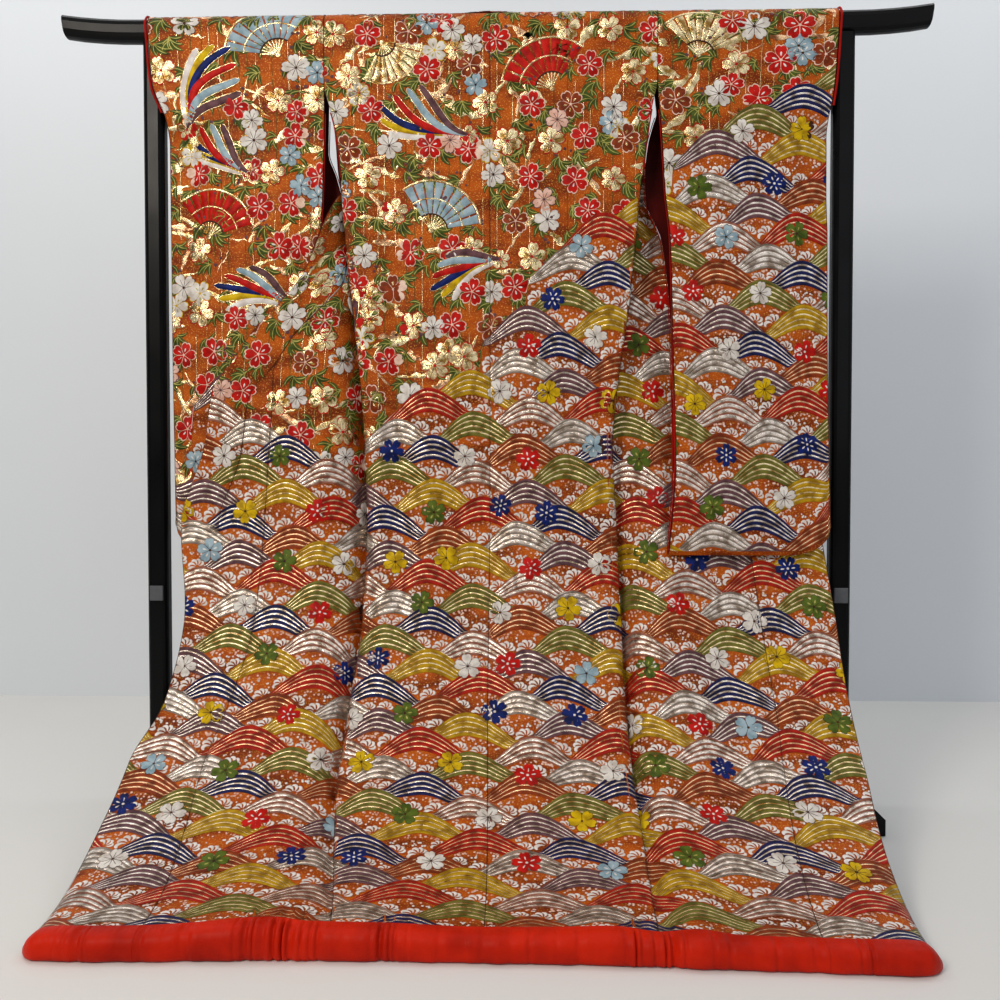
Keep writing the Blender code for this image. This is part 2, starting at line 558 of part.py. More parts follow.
def okumi_panel(name, side, finish, parts):
    """Overlap panel between the front panel and the front's free edge."""
    def sample(a, b):
        return curve_point(side, a, front_curve, b)
    half_gap = SEAM_GAP / 2.0
    grid = []
    for s in body_rows(OKUMI_TOP_S, COLLAR_END_S) + body_rows(COLLAR_END_S + OKUMI_STEP, HEM_S):
        start = front_edge(side, s) + half_gap
        end = collar_seam(side, s) - half_gap if s <= COLLAR_END_S else front_length(side, s)
        grid.append([framed(sample, s, start + (end - start) * k / OKUMI_COLUMNS, side)
                     for k in range(OKUMI_COLUMNS + 1)])
    return wall(name, grid, BODY_WALL / 2.0, BODY_WALL / 2.0, finish, parts)


def neck_row(side, angle):
    """One row of the collar where it fans round the neck, from its seam to its free edge."""
    row = row_at(NECK, NECK_COLUMNS, angle)
    seam = Vector((row["seam_x"], angle / 90.0 * ROD_QUARTER))
    free = Vector((row["free_x"], row["free_rho"]))
    inward = (free - seam).normalized() * NECK_GAP / 2.0
    lift = NECK_LIFT * (1.0 - ease(90.0, NECK[-1][0], angle))
    flow = 1.0 if side > 0 else -1.0

    def place(k, shift=Vector((0.0, 0.0))):
        at = (seam + inward).lerp(free, k / COLLAR_COLUMNS) + shift
        return rod_point(flow * at[0], at[1])

    framed_row = []
    for k in range(COLLAR_COLUMNS + 1):
        forward = place(k, Vector((0.0, SAMPLE_REACH))) - place(k, Vector((0.0, -SAMPLE_REACH)))
        aside = place(k, Vector((SAMPLE_REACH, 0.0))) - place(k, Vector((-SAMPLE_REACH, 0.0)))
        normal = forward.cross(aside).normalized() * -side
        framed_row.append((place(k) + normal * lift, normal))
    return framed_row


def collar_row(side, s):
    """One row of the collar on a front, from its seam to its free edge."""
    def sample(a, b):
        return curve_point(side, a, front_curve, b)
    start = collar_seam(side, s) + collar_gap(s) / 2.0
    end = front_length(side, s)
    return [framed(sample, s, start + (end - start) * k / COLLAR_COLUMNS, side)
            for k in range(COLLAR_COLUMNS + 1)]


def collar(name, finish, parts):
    """Collar in one length: up the left front, round the neck over the rod, down the right front."""
    fronts = body_rows(BODY_ROWS[0], COLLAR_END_S - COLLAR_END_GAP)
    angles = [row[0] for row in NECK]
    grid = [collar_row(-1, s) for s in reversed(fronts)]
    grid += [neck_row(-1, angle) for angle in reversed(angles)]
    grid += [neck_row(1, angle) for angle in angles[1:]]
    grid += [collar_row(1, s) for s in fronts]
    return wall(name, grid, BODY_WALL / 2.0, COLLAR_WALL - BODY_WALL / 2.0, finish, parts)


# ---- sleeves -------------------------------------------------------------------------------------
def sleeve_row(side, s):
    """The row of one sleeve's table at a drop s."""
    return row_at(LEFT_SLEEVE if side < 0 else RIGHT_SLEEVE, SLEEVE_COLUMNS, s)


def sleeve_bottom(side, share):
    """Drop of the sleeve's bottom edge, share of the way out to the cuff, round at the corner."""
    row = sleeve_row(side, SLEEVE_BOTTOM_S)
    from_end = (1.0 - share) * (row["outer_x"] - row["inner_x"])
    turn = max(0.0, 1.0 - from_end / SLEEVE_CORNER_WIDTH)
    return SLEEVE_BOTTOM_S - SLEEVE_CORNER_RISE * (1.0 - math.sqrt(1.0 - turn * turn))


def sleeve_point(side, share, drop, half):
    """World point of a sleeve: share of the way out, drop below the shoulder, half -1 back, 1 front."""
    if drop > SLEEVE_ROUNDING_S:
        span = (sleeve_bottom(side, share) - SLEEVE_ROUNDING_S) / (SLEEVE_BOTTOM_S - SLEEVE_ROUNDING_S)
        drop = SLEEVE_ROUNDING_S + (drop - SLEEVE_ROUNDING_S) * span
    row = sleeve_row(side, drop)
    x = row["inner_x"] + (row["outer_x"] - row["inner_x"]) * share
    x -= row["tuck"] * max(0.0, half) * (1.0 - share) ** 2
    closing = ease(SLEEVE_CLOSING_SHARE, 1.0, share) * ease(CUFF_EDGING_END_S, CUFF_END_S, drop)
    gap = row["gap"] + (SLEEVE_END_GAP - row["gap"]) * closing
    near_bottom = min(1.0, max(0.0, (sleeve_bottom(side, share) - drop) / SLEEVE_HEEL))
    gap *= math.sqrt(1.0 - (1.0 - near_bottom) ** 2)
    y = row["mid_y"] + half * gap
    return Vector((side * x + GARMENT_X, y + LAYOUT_Y, BEND_Z + BEND_S - drop))


def sleeve_arc_point(side, share, angle):
    """World point of a sleeve where it passes over the rod, angle forward of the ridge."""
    row = sleeve_row(side, SHOULDER_S)
    x = row["inner_x"] + (row["outer_x"] - row["inner_x"]) * share
    turn = math.radians(angle)
    y = OVER_ROD_DEPTH * math.sin(turn)
    return Vector((side * x + GARMENT_X, y + LAYOUT_Y, ROD_CENTRE_Z + OVER_ROD_RISE * math.cos(turn)))


def sleeve_ring(side, share):
    """Points round a sleeve: from just behind the bottom fold up the back, over, and down again."""
    ring = [sleeve_point(side, share, drop, -1.0) for drop in reversed(SLEEVE_DROPS)]
    ring += [sleeve_arc_point(side, share, angle) for angle in SLEEVE_ARC]
    ring += [sleeve_point(side, share, drop, 1.0) for drop in SLEEVE_DROPS]
    ring.append(sleeve_point(side, share, SLEEVE_BOTTOM_S, 0.0))
    return ring


def sleeve(name, side, finish, parts):
    """Hanging sleeve: a bag over the rod, open at the cuff above and all down its inner edge."""
    mesh = bpy.data.meshes.new(name)
    build = bmesh.new()
    rings = [[build.verts.new(p) for p in sleeve_ring(side, share)] for share in SLEEVE_SHARES]
    count = len(rings[0])
    for ring, following in zip(rings, rings[1:]):
        for k in range(count):
            m = (k + 1) % count
            build.faces.new((ring[k], ring[m], following[m], following[k]))
    sewn = [k for k, drop in enumerate(reversed(SLEEVE_DROPS)) if drop >= CUFF_END_S]
    last = rings[-1]
    fronts = [count - 2 - k for k in sewn]
    build.faces.new((last[count - 1], last[sewn[0]], last[fronts[0]]))
    for k, m, front_k, front_m in zip(sewn, sewn[1:], fronts, fronts[1:]):
        build.faces.new((last[k], last[m], last[front_m], last[front_k]))
    bmesh.ops.recalc_face_normals(build, faces=build.faces)
    build.to_mesh(mesh)
    build.free()
    obj = new_object(name, mesh, finish, parts)
    thick = obj.modifiers.new("cloth", "SOLIDIFY")
    thick.thickness = SLEEVE_WALL
    thick.offset = 0.0
    thick.use_even_offset = True
    shade_round(mesh)
    return obj


# ---- edgings and hem -----------------------------------------------------------------------------
def cord_along(name, points, radius, finish, parts):
    """Round edging: a tube through points with flat ends."""
    curve = bpy.data.curves.new(name, "CURVE")
    curve.dimensions = "3D"
    curve.bevel_depth = radius
    curve.bevel_resolution = 1
    curve.use_fill_caps = True
    line = curve.splines.new("POLY")
    line.points.add(len(points) - 1)
    for point, place in zip(line.points, points):
        point.co = (*place, 1.0)
    obj = bpy.data.objects.new(name, curve)
    own = finish.copy()
    own.name = name + "_finish"
    curve.materials.append(own)
    parts.objects.link(obj)
    return obj


def cuff_edging(name, side, finish, parts):
    """Lining rolled out round the open part of a cuff."""
    out = Vector((side * (SLEEVE_WALL / 2.0 + SEAM_GAP + EDGING_RADIUS), 0.0, 0.0))
    drops = [drop for drop in EDGING_DROPS if drop <= CUFF_EDGING_END_S]
    points = [sleeve_point(side, 1.0, drop, -1.0) + out for drop in reversed(drops)]
    for angle in SLEEVE_ARC:
        lift = Vector((0.0, math.sin(math.radians(angle)), math.cos(math.radians(angle))))
        points.append(sleeve_arc_point(side, 1.0, angle) + out + lift * EDGING_LIFT)
    points += [sleeve_point(side, 1.0, drop, 1.0) + out for drop in drops]
    return cord_along(name, points, EDGING_RADIUS, finish, parts)


def sleeve_opening_edging(name, side, finish, parts):
    """Lining rolled out down the sleeve's open inner edge, round its bottom and up again."""
    out = Vector((-side * (SEAM_GAP + OPENING_EDGING_RADIUS), 0.0, 0.0))
    drops = [drop for drop in SLEEVE_DROPS if drop > OPENING_EDGING_START_S]
    points = [sleeve_point(side, 0.0, drop, -1.0) + out for drop in drops]
    points.append(sleeve_point(side, 0.0, SLEEVE_BOTTOM_S, 0.0) + out)
    points += [sleeve_point(side, 0.0, drop, 1.0) + out for drop in reversed(drops)]
    return cord_along(name, points, OPENING_EDGING_RADIUS, finish, parts)


def side_vent_edging(name, side, finish, parts):
    """Lining that shows down the back's open side edge between the armhole and the side seam."""
    points = []
    for s in VENT_ROWS:
        width = back_curve(side, round(s, 6))[1][-1]
        points.append(curve_point(side, s, back_curve, width + SEAM_GAP + VENT_EDGING_RADIUS))
    return cord_along(name, points, VENT_EDGING_RADIUS, finish, parts)


def gather_depth(x):
    """How far the hem roll is drawn in at x by its small gathers."""
    for values in GATHERS:
        row = dict(zip(GATHER_COLUMNS, values))
        if row["start_x"] < x < row["end_x"]:
            turn = (x - row["start_x"]) / row["pitch"] * 2.0 * math.pi
            fade_in = ease(row["start_x"], row["start_x"] + GATHER_FADE, x)
            fade_out = 1.0 - ease(row["end_x"] - GATHER_FADE, row["end_x"], x)
            return row["depth"] * fade_in * fade_out * (0.5 - 0.5 * math.cos(turn))
    return 0.0


def hem_stations(start, end):
    """Stations along a stretch of the hem roll, close together where it is gathered."""
    stations = [start]
    while stations[-1] < end:
        x = stations[-1]
        gathered = any(g[0] - GATHER_STEP < x < g[1] + GATHER_STEP for g in GATHERS)
        stations.append(x + (GATHER_STEP if gathered else PLAIN_STEP))
    keep = [x for x in stations if x < end - GATHER_STEP / 2.0]
    return keep + [end]


def hem_roll(name, start, end, finish, parts):
    """One stretch of the padded hem, resting flat on the floor."""
    mesh = bpy.data.meshes.new(name)
    build = bmesh.new()
    rings = []
    for x in hem_stations(start, end):
        row = row_at(HEM_ROLL, HEM_COLUMNS, x)
        drawn = gather_depth(x)
        depth = HEM_ROLL_DEPTH * row["fill"] - drawn
        crest = row["crest"] - drawn
        back = HEM_Y + LAYOUT_Y - SEAM_GAP - row["swing"]
        rings.append([build.verts.new((x + GARMENT_X, back - depth * forward, crest * height))
                      for forward, height in HEM_SECTION])
    count = len(HEM_SECTION)
    for ring, following in zip(rings, rings[1:]):
        for k in range(count):
            m = (k + 1) % count
            build.faces.new((ring[k], ring[m], following[m], following[k]))
    build.faces.new(rings[0])
    build.faces.new(rings[-1])
    bmesh.ops.recalc_face_normals(build, faces=build.faces)
    build.to_mesh(mesh)
    build.free()
    shade_round(mesh, HEM_SHARP_ANGLE)
    return new_object(name, mesh, finish, parts)


# ---- stand ---------------------------------------------------------------------------------------
def box(name, size, place, finish, parts, rounding=0.0, segments=2):
    """Box with rounded edges."""
    mesh = bpy.data.meshes.new(name)
    build = bmesh.new()
    bmesh.ops.create_cube(build, size=1.0)
    bmesh.ops.scale(build, vec=Vector(size), verts=build.verts)
    if rounding > 0.0:
        bmesh.ops.bevel(build, geom=build.edges[:], offset=rounding, segments=segments,
                        profile=0.5, affect="EDGES", clamp_overlap=True)
    build.to_mesh(mesh)
    build.free()
    shade_round(mesh)
    return new_object(name, mesh, finish, parts, place)


def upright_box(name, size, place, finish, parts, rounding, segments=3):
    """Post: a box whose four upright edges alone are rounded."""
    mesh = bpy.data.meshes.new(name)
    build = bmesh.new()
    bmesh.ops.create_cube(build, size=1.0)
    bmesh.ops.scale(build, vec=Vector(size), verts=build.verts)
    upright = [e for e in build.edges if abs(e.verts[0].co.z - e.verts[1].co.z) > size[2] / 2.0]
    bmesh.ops.bevel(build, geom=upright, offset=rounding, segments=segments, profile=0.5,
                    affect="EDGES", clamp_overlap=True)
    build.to_mesh(mesh)
    build.free()
    shade_round(mesh)
    return new_object(name, mesh, finish, parts, place)


def foot(name, side, finish, parts):
    """Foot with its upper edges cut to a slope all round."""
    mesh = bpy.data.meshes.new(name)
    build = bmesh.new()
    bmesh.ops.create_cube(build, size=1.0)
    bmesh.ops.scale(build, vec=Vector((FOOT_WIDTH, FOOT_LENGTH, FOOT_HEIGHT)), verts=build.verts)
    top = [e for e in build.edges if all(v.co.z > 0.0 for v in e.verts)]
    bmesh.ops.bevel(build, geom=top, offset=FOOT_CHAMFER, segments=1, profile=0.5, affect="EDGES")
    build.to_mesh(mesh)
    build.free()
    place = (POST_SHIFT + side * POST_SPAN / 2.0, LAYOUT_Y, FOOT_HEIGHT / 2.0)
    return new_object(name, mesh, finish, parts, place)


def rod(name, finish, parts):
    """Top rod: rounded bar whose two ends sweep a little upwards."""
    mesh = bpy.data.meshes.new(name)
    build = bmesh.new()
    bmesh.ops.create_cube(build, size=1.0)
    bmesh.ops.scale(build, vec=Vector((ROD_LENGTH, ROD_DEPTH, ROD_HEIGHT)), verts=build.verts)
    bend_start = ROD_LENGTH / 2.0 - ROD_END_RUN
    for side in (-1.0, 1.0):
        for step in range(ROD_BEND_STEPS):
            cut = side * (bend_start + ROD_END_RUN * step / ROD_BEND_STEPS)
            geometry = build.verts[:] + build.edges[:] + build.faces[:]
            bmesh.ops.bisect_plane(build, geom=geometry, plane_co=(cut, 0.0, 0.0), plane_no=(1.0, 0.0, 0.0))
    lengthwise = [e for e in build.edges if abs(e.verts[0].co.x - e.verts[1].co.x) > 1e-6]
    bmesh.ops.bevel(build, geom=lengthwise, offset=ROD_ROUNDING, segments=3, profile=0.5, affect="EDGES")
    for vertex in build.verts:
        along_end = max(0.0, abs(vertex.co.x) - bend_start) / ROD_END_RUN
        if along_end > 0.999:
            vertex.co.x -= math.copysign(ROD_END_SLANT * (0.5 - vertex.co.z / ROD_HEIGHT), vertex.co.x)
        vertex.co.z += ROD_END_RISE * along_end * along_end
    build.to_mesh(mesh)
    build.free()
    shade_round(mesh)
    return new_object(name, mesh, finish, parts, (0.0, LAYOUT_Y, ROD_CENTRE_Z))


def stand(finish, plate_finish, parts):
    """Kimono stand: rod on two posts, a low rail between them, a foot under each."""
    rod("stand_rod", finish, parts)
    post_foot = FOOT_HEIGHT + JOINT_GAP
    post_top = ROD_CENTRE_Z - ROD_HEIGHT / 2.0 - JOINT_GAP
    for side, word in ((-1, "left"), (1, "right")):
        x = POST_SHIFT + side * POST_SPAN / 2.0
        size = (POST_WIDTH, POST_DEPTH, post_top - post_foot)
        upright_box("stand_post_" + word, size, (x, LAYOUT_Y, (post_top + post_foot) / 2.0), finish, parts,
                    POST_ROUNDING)
        foot("stand_foot_" + word, side, finish, parts)
        plate_y = LAYOUT_Y - (POST_DEPTH + PLATE_DEPTH) / 2.0 - JOINT_GAP
        box("stand_joint_plate_" + word, (PLATE_WIDTH, PLATE_DEPTH, PLATE_HEIGHT), (x, plate_y, PLATE_Z),
            plate_finish, parts, PLATE_ROUNDING, segments=1)
    rail_length = POST_SPAN - POST_WIDTH - 2.0 * JOINT_GAP
    box("stand_rail", (rail_length, RAIL_DEPTH, RAIL_HEIGHT), (POST_SHIFT, LAYOUT_Y, RAIL_Z), finish, parts,
        RAIL_ROUNDING, segments=2)


def garment(brocade, collar_cloth, lining, parts):
    """All the sewn pieces of the kimono."""
    for side, word in ((-1, "left"), (1, "right")):
        body_panel("body_panel_" + word, side, brocade, parts)
        okumi_panel("overlap_panel_" + word, side, brocade, parts)
        sleeve("sleeve_" + word, side, brocade, parts)
        cuff_edging("cuff_edging_" + word, side, lining, parts)
        sleeve_opening_edging("sleeve_opening_edging_" + word, side, lining, parts)
        side_vent_edging("side_vent_edging_" + word, side, lining, parts)
    collar("collar", collar_cloth, parts)
    half_gap = SEAM_GAP / 2.0
    left_seam, right_seam = -LEFT_DOOR[-1][-1], RIGHT_DOOR[-1][-1]
    hem_roll("hem_roll_left", HEM_ROLL[0][0], left_seam - half_gap, lining, parts)
    hem_roll("hem_roll_middle", left_seam + half_gap, right_seam - half_gap, lining, parts)
    hem_roll("hem_roll_right", right_seam + half_gap, HEM_ROLL[-1][0], lining, parts)


def main():
    """Clear the scene and build the whole part."""
    for obj in list(bpy.data.objects):
        bpy.data.objects.remove(obj, do_unlink=True)
    parts = bpy.data.collections.new("uchikake_on_stand")
    bpy.context.scene.collection.children.link(parts)
    lacquer = material("black_lacquer", "#0C0C0E", 0.22)
    plate = material("grey_metal", "#6E6F72", 0.45, 0.8)
    brocade = material("orange_brocade", "#B5501C", 0.55, 0.2)
    collar_cloth = material("collar_brocade", "#A9743A", 0.55, 0.2)
    lining = material("red_silk", "#C01F10", 0.60)
    stand(lacquer, plate, parts)
    garment(brocade, collar_cloth, lining, parts)


main()
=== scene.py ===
"""Looks of an uchikake wedding kimono hung over its lacquered stand, train drawn forward.

Metres, +Z up. The back of the garment and its train face -Y; "left" is the wearer's left, at -X.
A place on the cloth is (u, v): u is measured along the cloth from the centre back seam, outwards to
the right for plus, and v is the length down from the shoulder. h is the depth behind the smooth curve
in which the back hangs down and sweeps forward over the floor.
"""
import logging
import math
from dataclasses import dataclass, field
from enum import Enum
from typing import Iterable, Optional, Sequence, Union

import bmesh
import bpy
import numpy as np
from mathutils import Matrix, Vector


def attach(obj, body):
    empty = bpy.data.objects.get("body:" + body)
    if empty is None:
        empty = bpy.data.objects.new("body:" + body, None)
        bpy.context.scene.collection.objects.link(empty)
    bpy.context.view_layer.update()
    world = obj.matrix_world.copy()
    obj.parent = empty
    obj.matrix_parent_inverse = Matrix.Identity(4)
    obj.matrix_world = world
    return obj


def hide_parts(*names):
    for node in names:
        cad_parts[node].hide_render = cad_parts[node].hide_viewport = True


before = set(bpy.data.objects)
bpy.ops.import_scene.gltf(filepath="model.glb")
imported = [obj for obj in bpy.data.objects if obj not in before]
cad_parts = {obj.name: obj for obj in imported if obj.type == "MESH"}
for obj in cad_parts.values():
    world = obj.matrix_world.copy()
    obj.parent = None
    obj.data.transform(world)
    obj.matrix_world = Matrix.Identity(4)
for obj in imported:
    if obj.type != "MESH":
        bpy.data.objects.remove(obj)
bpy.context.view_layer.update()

LOG = logging.getLogger("uchikake")
ROOT = "root"
MM = 0.001

# Half of the garment from the centre back seam outwards, a row for each section down the cloth.
DOOR_COLUMNS = ("s", "seam_x", "seam_h", "front_x", "front_h", "fold_x", "fold_h", "back_x",
                "back_h", "rise_x", "rise_h", "outer_x", "outer_h", "okumi_x")
LEFT_DOOR = (
    (0.023, 0.316, 0.000, 0.316, 0.052, 0.262, 0.052, 0.205, 0.052, 0.140, 0.052, 0.036, 0.052, 0.400),
    (0.080, 0.316, 0.000, 0.316, 0.052, 0.262, 0.053, 0.210, 0.054, 0.150, 0.055, 0.052, 0.054, 0.400),
    (0.140, 0.316, 0.000, 0.316, 0.052, 0.265, 0.056, 0.220, 0.060, 0.170, 0.062, 0.090, 0.058, 0.400),
    (0.175, 0.307, 0.000, 0.311, 0.048, 0.264, 0.054, 0.226, 0.064, 0.190, 0.068, 0.126, 0.062, 0.400),
    (0.220, 0.295, 0.000, 0.303, 0.038, 0.262, 0.052, 0.232, 0.066, 0.212, 0.074, 0.165, 0.066, 0.400),
    (0.300, 0.285, 0.001, 0.293, 0.018, 0.250, 0.036, 0.228, 0.062, 0.246, 0.074, 0.252, 0.050, 0.400),
    (0.350, 0.283, 0.003, 0.283, 0.003, 0.246, 0.026, 0.228, 0.052, 0.256, 0.062, 0.295, 0.010, 0.400),
    (0.430, 0.277, 0.003, 0.277, 0.003, 0.250, 0.022, 0.238, 0.046, 0.268, 0.040, 0.324, -0.022, 0.400),
    (0.500, 0.270, 0.003, 0.270, 0.003, 0.250, 0.022, 0.244, 0.042, 0.284, 0.004, 0.353, -0.024, 0.404),
    (0.560, 0.264, 0.003, 0.264, 0.003, 0.250, 0.022, 0.250, 0.038, 0.290, -0.006, 0.402, -0.024, 0.408),
    (0.610, 0.259, 0.003, 0.259, 0.003, 0.248, 0.022, 0.252, 0.036, 0.290, -0.008, 0.452, -0.024, 0.410),
    (0.660, 0.253, 0.003, 0.253, 0.003, 0.244, 0.022, 0.250, 0.034, 0.287, -0.008, 0.486, -0.023, 0.412),
    (0.720, 0.248, 0.003, 0.248, 0.003, 0.240, 0.021, 0.247, 0.033, 0.284, -0.008, 0.528, -0.022, 0.414),
    (0.820, 0.242, 0.003, 0.242, 0.003, 0.234, 0.020, 0.242, 0.032, 0.279, -0.007, 0.543, -0.020, 0.422),
    (0.978, 0.237, 0.003, 0.237, 0.003, 0.230, 0.019, 0.238, 0.030, 0.273, -0.005, 0.589, -0.016, 0.432),
    (1.180, 0.238, 0.003, 0.238, 0.003, 0.231, 0.018, 0.239, 0.028, 0.272, -0.002, 0.568, -0.010, 0.440),
    (1.330, 0.246, 0.003, 0.246, 0.003, 0.240, 0.017, 0.247, 0.026, 0.280, 0.000, 0.576, -0.006, 0.462),
    (1.450, 0.246, 0.003, 0.246, 0.003, 0.240, 0.015, 0.247, 0.022, 0.278, 0.000, 0.603, -0.004, 0.478),
    (1.600, 0.229, 0.002, 0.229, 0.002, 0.224, 0.010, 0.231, 0.015, 0.258, 0.000, 0.601, -0.002, 0.466),
    (1.740, 0.204, 0.001, 0.204, 0.001, 0.202, 0.005, 0.209, 0.007, 0.232, 0.000, 0.596, 0.000, 0.450),
    (1.820, 0.192, 0.000, 0.192, 0.000, 0.194, 0.002, 0.201, 0.003, 0.222, 0.000, 0.588, 0.000, 0.445),
)
RIGHT_DOOR = (
    (0.023, 0.316, 0.000, 0.316, 0.052, 0.262, 0.052, 0.205, 0.052, 0.140, 0.052, 0.036, 0.052, 0.440),
    (0.080, 0.316, 0.000, 0.316, 0.052, 0.262, 0.053, 0.210, 0.054, 0.150, 0.055, 0.052, 0.054, 0.440),
    (0.140, 0.316, 0.000, 0.316, 0.052, 0.265, 0.056, 0.225, 0.062, 0.185, 0.066, 0.104, 0.062, 0.440),
    (0.175, 0.308, 0.000, 0.311, 0.047, 0.264, 0.054, 0.236, 0.065, 0.220, 0.073, 0.166, 0.071, 0.440),
    (0.220, 0.300, 0.000, 0.303, 0.037, 0.266, 0.052, 0.248, 0.068, 0.258, 0.078, 0.236, 0.080, 0.440),
    (0.300, 0.290, 0.001, 0.294, 0.018, 0.262, 0.036, 0.258, 0.060, 0.296, 0.070, 0.336, 0.072, 0.440),
    (0.350, 0.284, 0.003, 0.284, 0.003, 0.262, 0.026, 0.264, 0.050, 0.306, 0.066, 0.376, 0.071, 0.440),
    (0.430, 0.277, 0.003, 0.277, 0.003, 0.262, 0.024, 0.272, 0.046, 0.312, 0.062, 0.410, 0.068, 0.440),
    (0.500, 0.270, 0.003, 0.270, 0.003, 0.257, 0.024, 0.268, 0.044, 0.310, 0.058, 0.440, 0.064, 0.440),
    (0.560, 0.264, 0.003, 0.264, 0.003, 0.251, 0.024, 0.262, 0.042, 0.306, 0.056, 0.466, 0.062, 0.440),
    (0.610, 0.257, 0.003, 0.257, 0.003, 0.244, 0.024, 0.256, 0.041, 0.302, 0.053, 0.490, 0.060, 0.440),
    (0.660, 0.250, 0.003, 0.250, 0.003, 0.238, 0.024, 0.250, 0.040, 0.298, 0.050, 0.514, 0.057, 0.442),
    (0.720, 0.242, 0.003, 0.242, 0.003, 0.231, 0.023, 0.243, 0.038, 0.293, 0.046, 0.542, 0.052, 0.452),
    (0.820, 0.234, 0.003, 0.234, 0.003, 0.224, 0.022, 0.236, 0.035, 0.285, 0.036, 0.588, 0.041, 0.470),
    (0.978, 0.241, 0.003, 0.241, 0.003, 0.233, 0.020, 0.242, 0.030, 0.282, 0.016, 0.630, 0.018, 0.492),
    (1.180, 0.246, 0.003, 0.246, 0.003, 0.239, 0.018, 0.247, 0.026, 0.282, 0.000, 0.640, -0.004, 0.504),
    (1.330, 0.246, 0.003, 0.246, 0.003, 0.240, 0.016, 0.247, 0.023, 0.280, 0.000, 0.638, -0.004, 0.508),
    (1.450, 0.248, 0.003, 0.248, 0.003, 0.242, 0.014, 0.249, 0.020, 0.280, 0.000, 0.634, -0.003, 0.500),
    (1.600, 0.252, 0.002, 0.252, 0.002, 0.247, 0.009, 0.254, 0.013, 0.282, 0.000, 0.616, -0.002, 0.484),
    (1.740, 0.250, 0.001, 0.250, 0.001, 0.249, 0.005, 0.256, 0.007, 0.280, 0.000, 0.604, 0.000, 0.470),
    (1.820, 0.248, 0.000, 0.248, 0.000, 0.250, 0.002, 0.257, 0.003, 0.278, 0.000, 0.596, 0.000, 0.462),
)
NECK_COLUMNS = ("angle", "seam_x", "free_x", "free_rho")
NECK = (
    (-30.0, 0.000, 0.000, 0.052), (-15.0, 0.030, 0.014, 0.054), (0.0, 0.050, 0.026, 0.058),
    (30.0, 0.068, 0.036, 0.066), (60.0, 0.081, 0.043, 0.076), (90.0, 0.092, 0.048, 0.086),
    (157.5, 0.112, 0.051, 0.097),
)
SLEEVE_COLUMNS = ("s", "inner_x", "outer_x", "mid_y", "gap", "tuck")
LEFT_SLEEVE = (
    (0.023, 0.3163, 0.655, 0.0000, 0.0260, 0.000),
    (0.130, 0.3163, 0.647, 0.0000, 0.0240, 0.000),
    (0.205, 0.3170, 0.622, 0.0010, 0.0220, 0.000),
    (0.250, 0.3184, 0.621, 0.0015, 0.0218, 0.000),
    (0.300, 0.3200, 0.621, 0.0022, 0.0214, 0.018),
    (0.350, 0.3220, 0.621, 0.0030, 0.0210, 0.030),
    (0.430, 0.3270, 0.621, 0.0040, 0.0200, 0.010),
    (0.600, 0.3270, 0.621, 0.0050, 0.0180, 0.000),
    (0.850, 0.3270, 0.619, 0.0060, 0.0150, 0.000),
    (1.030, 0.3270, 0.617, 0.0060, 0.0120, 0.000),
)
RIGHT_SLEEVE = (
    (0.023, 0.3163, 0.655, 0.0000, 0.0260, 0.000),
    (0.130, 0.3163, 0.649, 0.0000, 0.0240, 0.000),
    (0.180, 0.3204, 0.643, -0.0006, 0.0226, 0.000),
    (0.205, 0.3230, 0.639, -0.0010, 0.0220, 0.009),
    (0.240, 0.3256, 0.638, -0.0018, 0.0212, 0.021),
    (0.300, 0.3297, 0.638, -0.0030, 0.0200, 0.031),
    (0.350, 0.3330, 0.638, -0.0040, 0.0190, 0.033),
    (0.430, 0.3420, 0.640, -0.0070, 0.0170, 0.012),
    (0.600, 0.3470, 0.640, -0.0120, 0.0150, 0.000),
    (0.850, 0.3520, 0.640, -0.0310, 0.0110, 0.000),
    (1.030, 0.3380, 0.640, -0.0500, 0.0080, 0.000),
)
HEM_COLUMNS = ("x", "crest", "fill", "swing")
HEM_ROLL = (
    (-0.602, 0.011, 0.32, 0.013), (-0.592, 0.024, 0.70, 0.013), (-0.577, 0.033, 0.92, 0.013),
    (-0.550, 0.036, 0.97, 0.013), (-0.470, 0.036, 0.98, 0.011), (-0.380, 0.040, 0.98, 0.008),
    (-0.310, 0.046, 1.00, 0.004), (-0.270, 0.047, 1.00, 0.002), (-0.220, 0.041, 1.00, 0.000),
    (-0.120, 0.040, 0.99, 0.000), (0.000, 0.036, 1.00, 0.000), (0.120, 0.038, 0.99, 0.001),
    (0.190, 0.041, 1.00, 0.003), (0.250, 0.035, 0.98, 0.005), (0.300, 0.040, 1.00, 0.007),
    (0.360, 0.034, 0.98, 0.010), (0.470, 0.034, 0.98, 0.015), (0.560, 0.035, 0.97, 0.018),
    (0.588, 0.033, 0.92, 0.018), (0.602, 0.024, 0.70, 0.018), (0.612, 0.011, 0.32, 0.018),
)

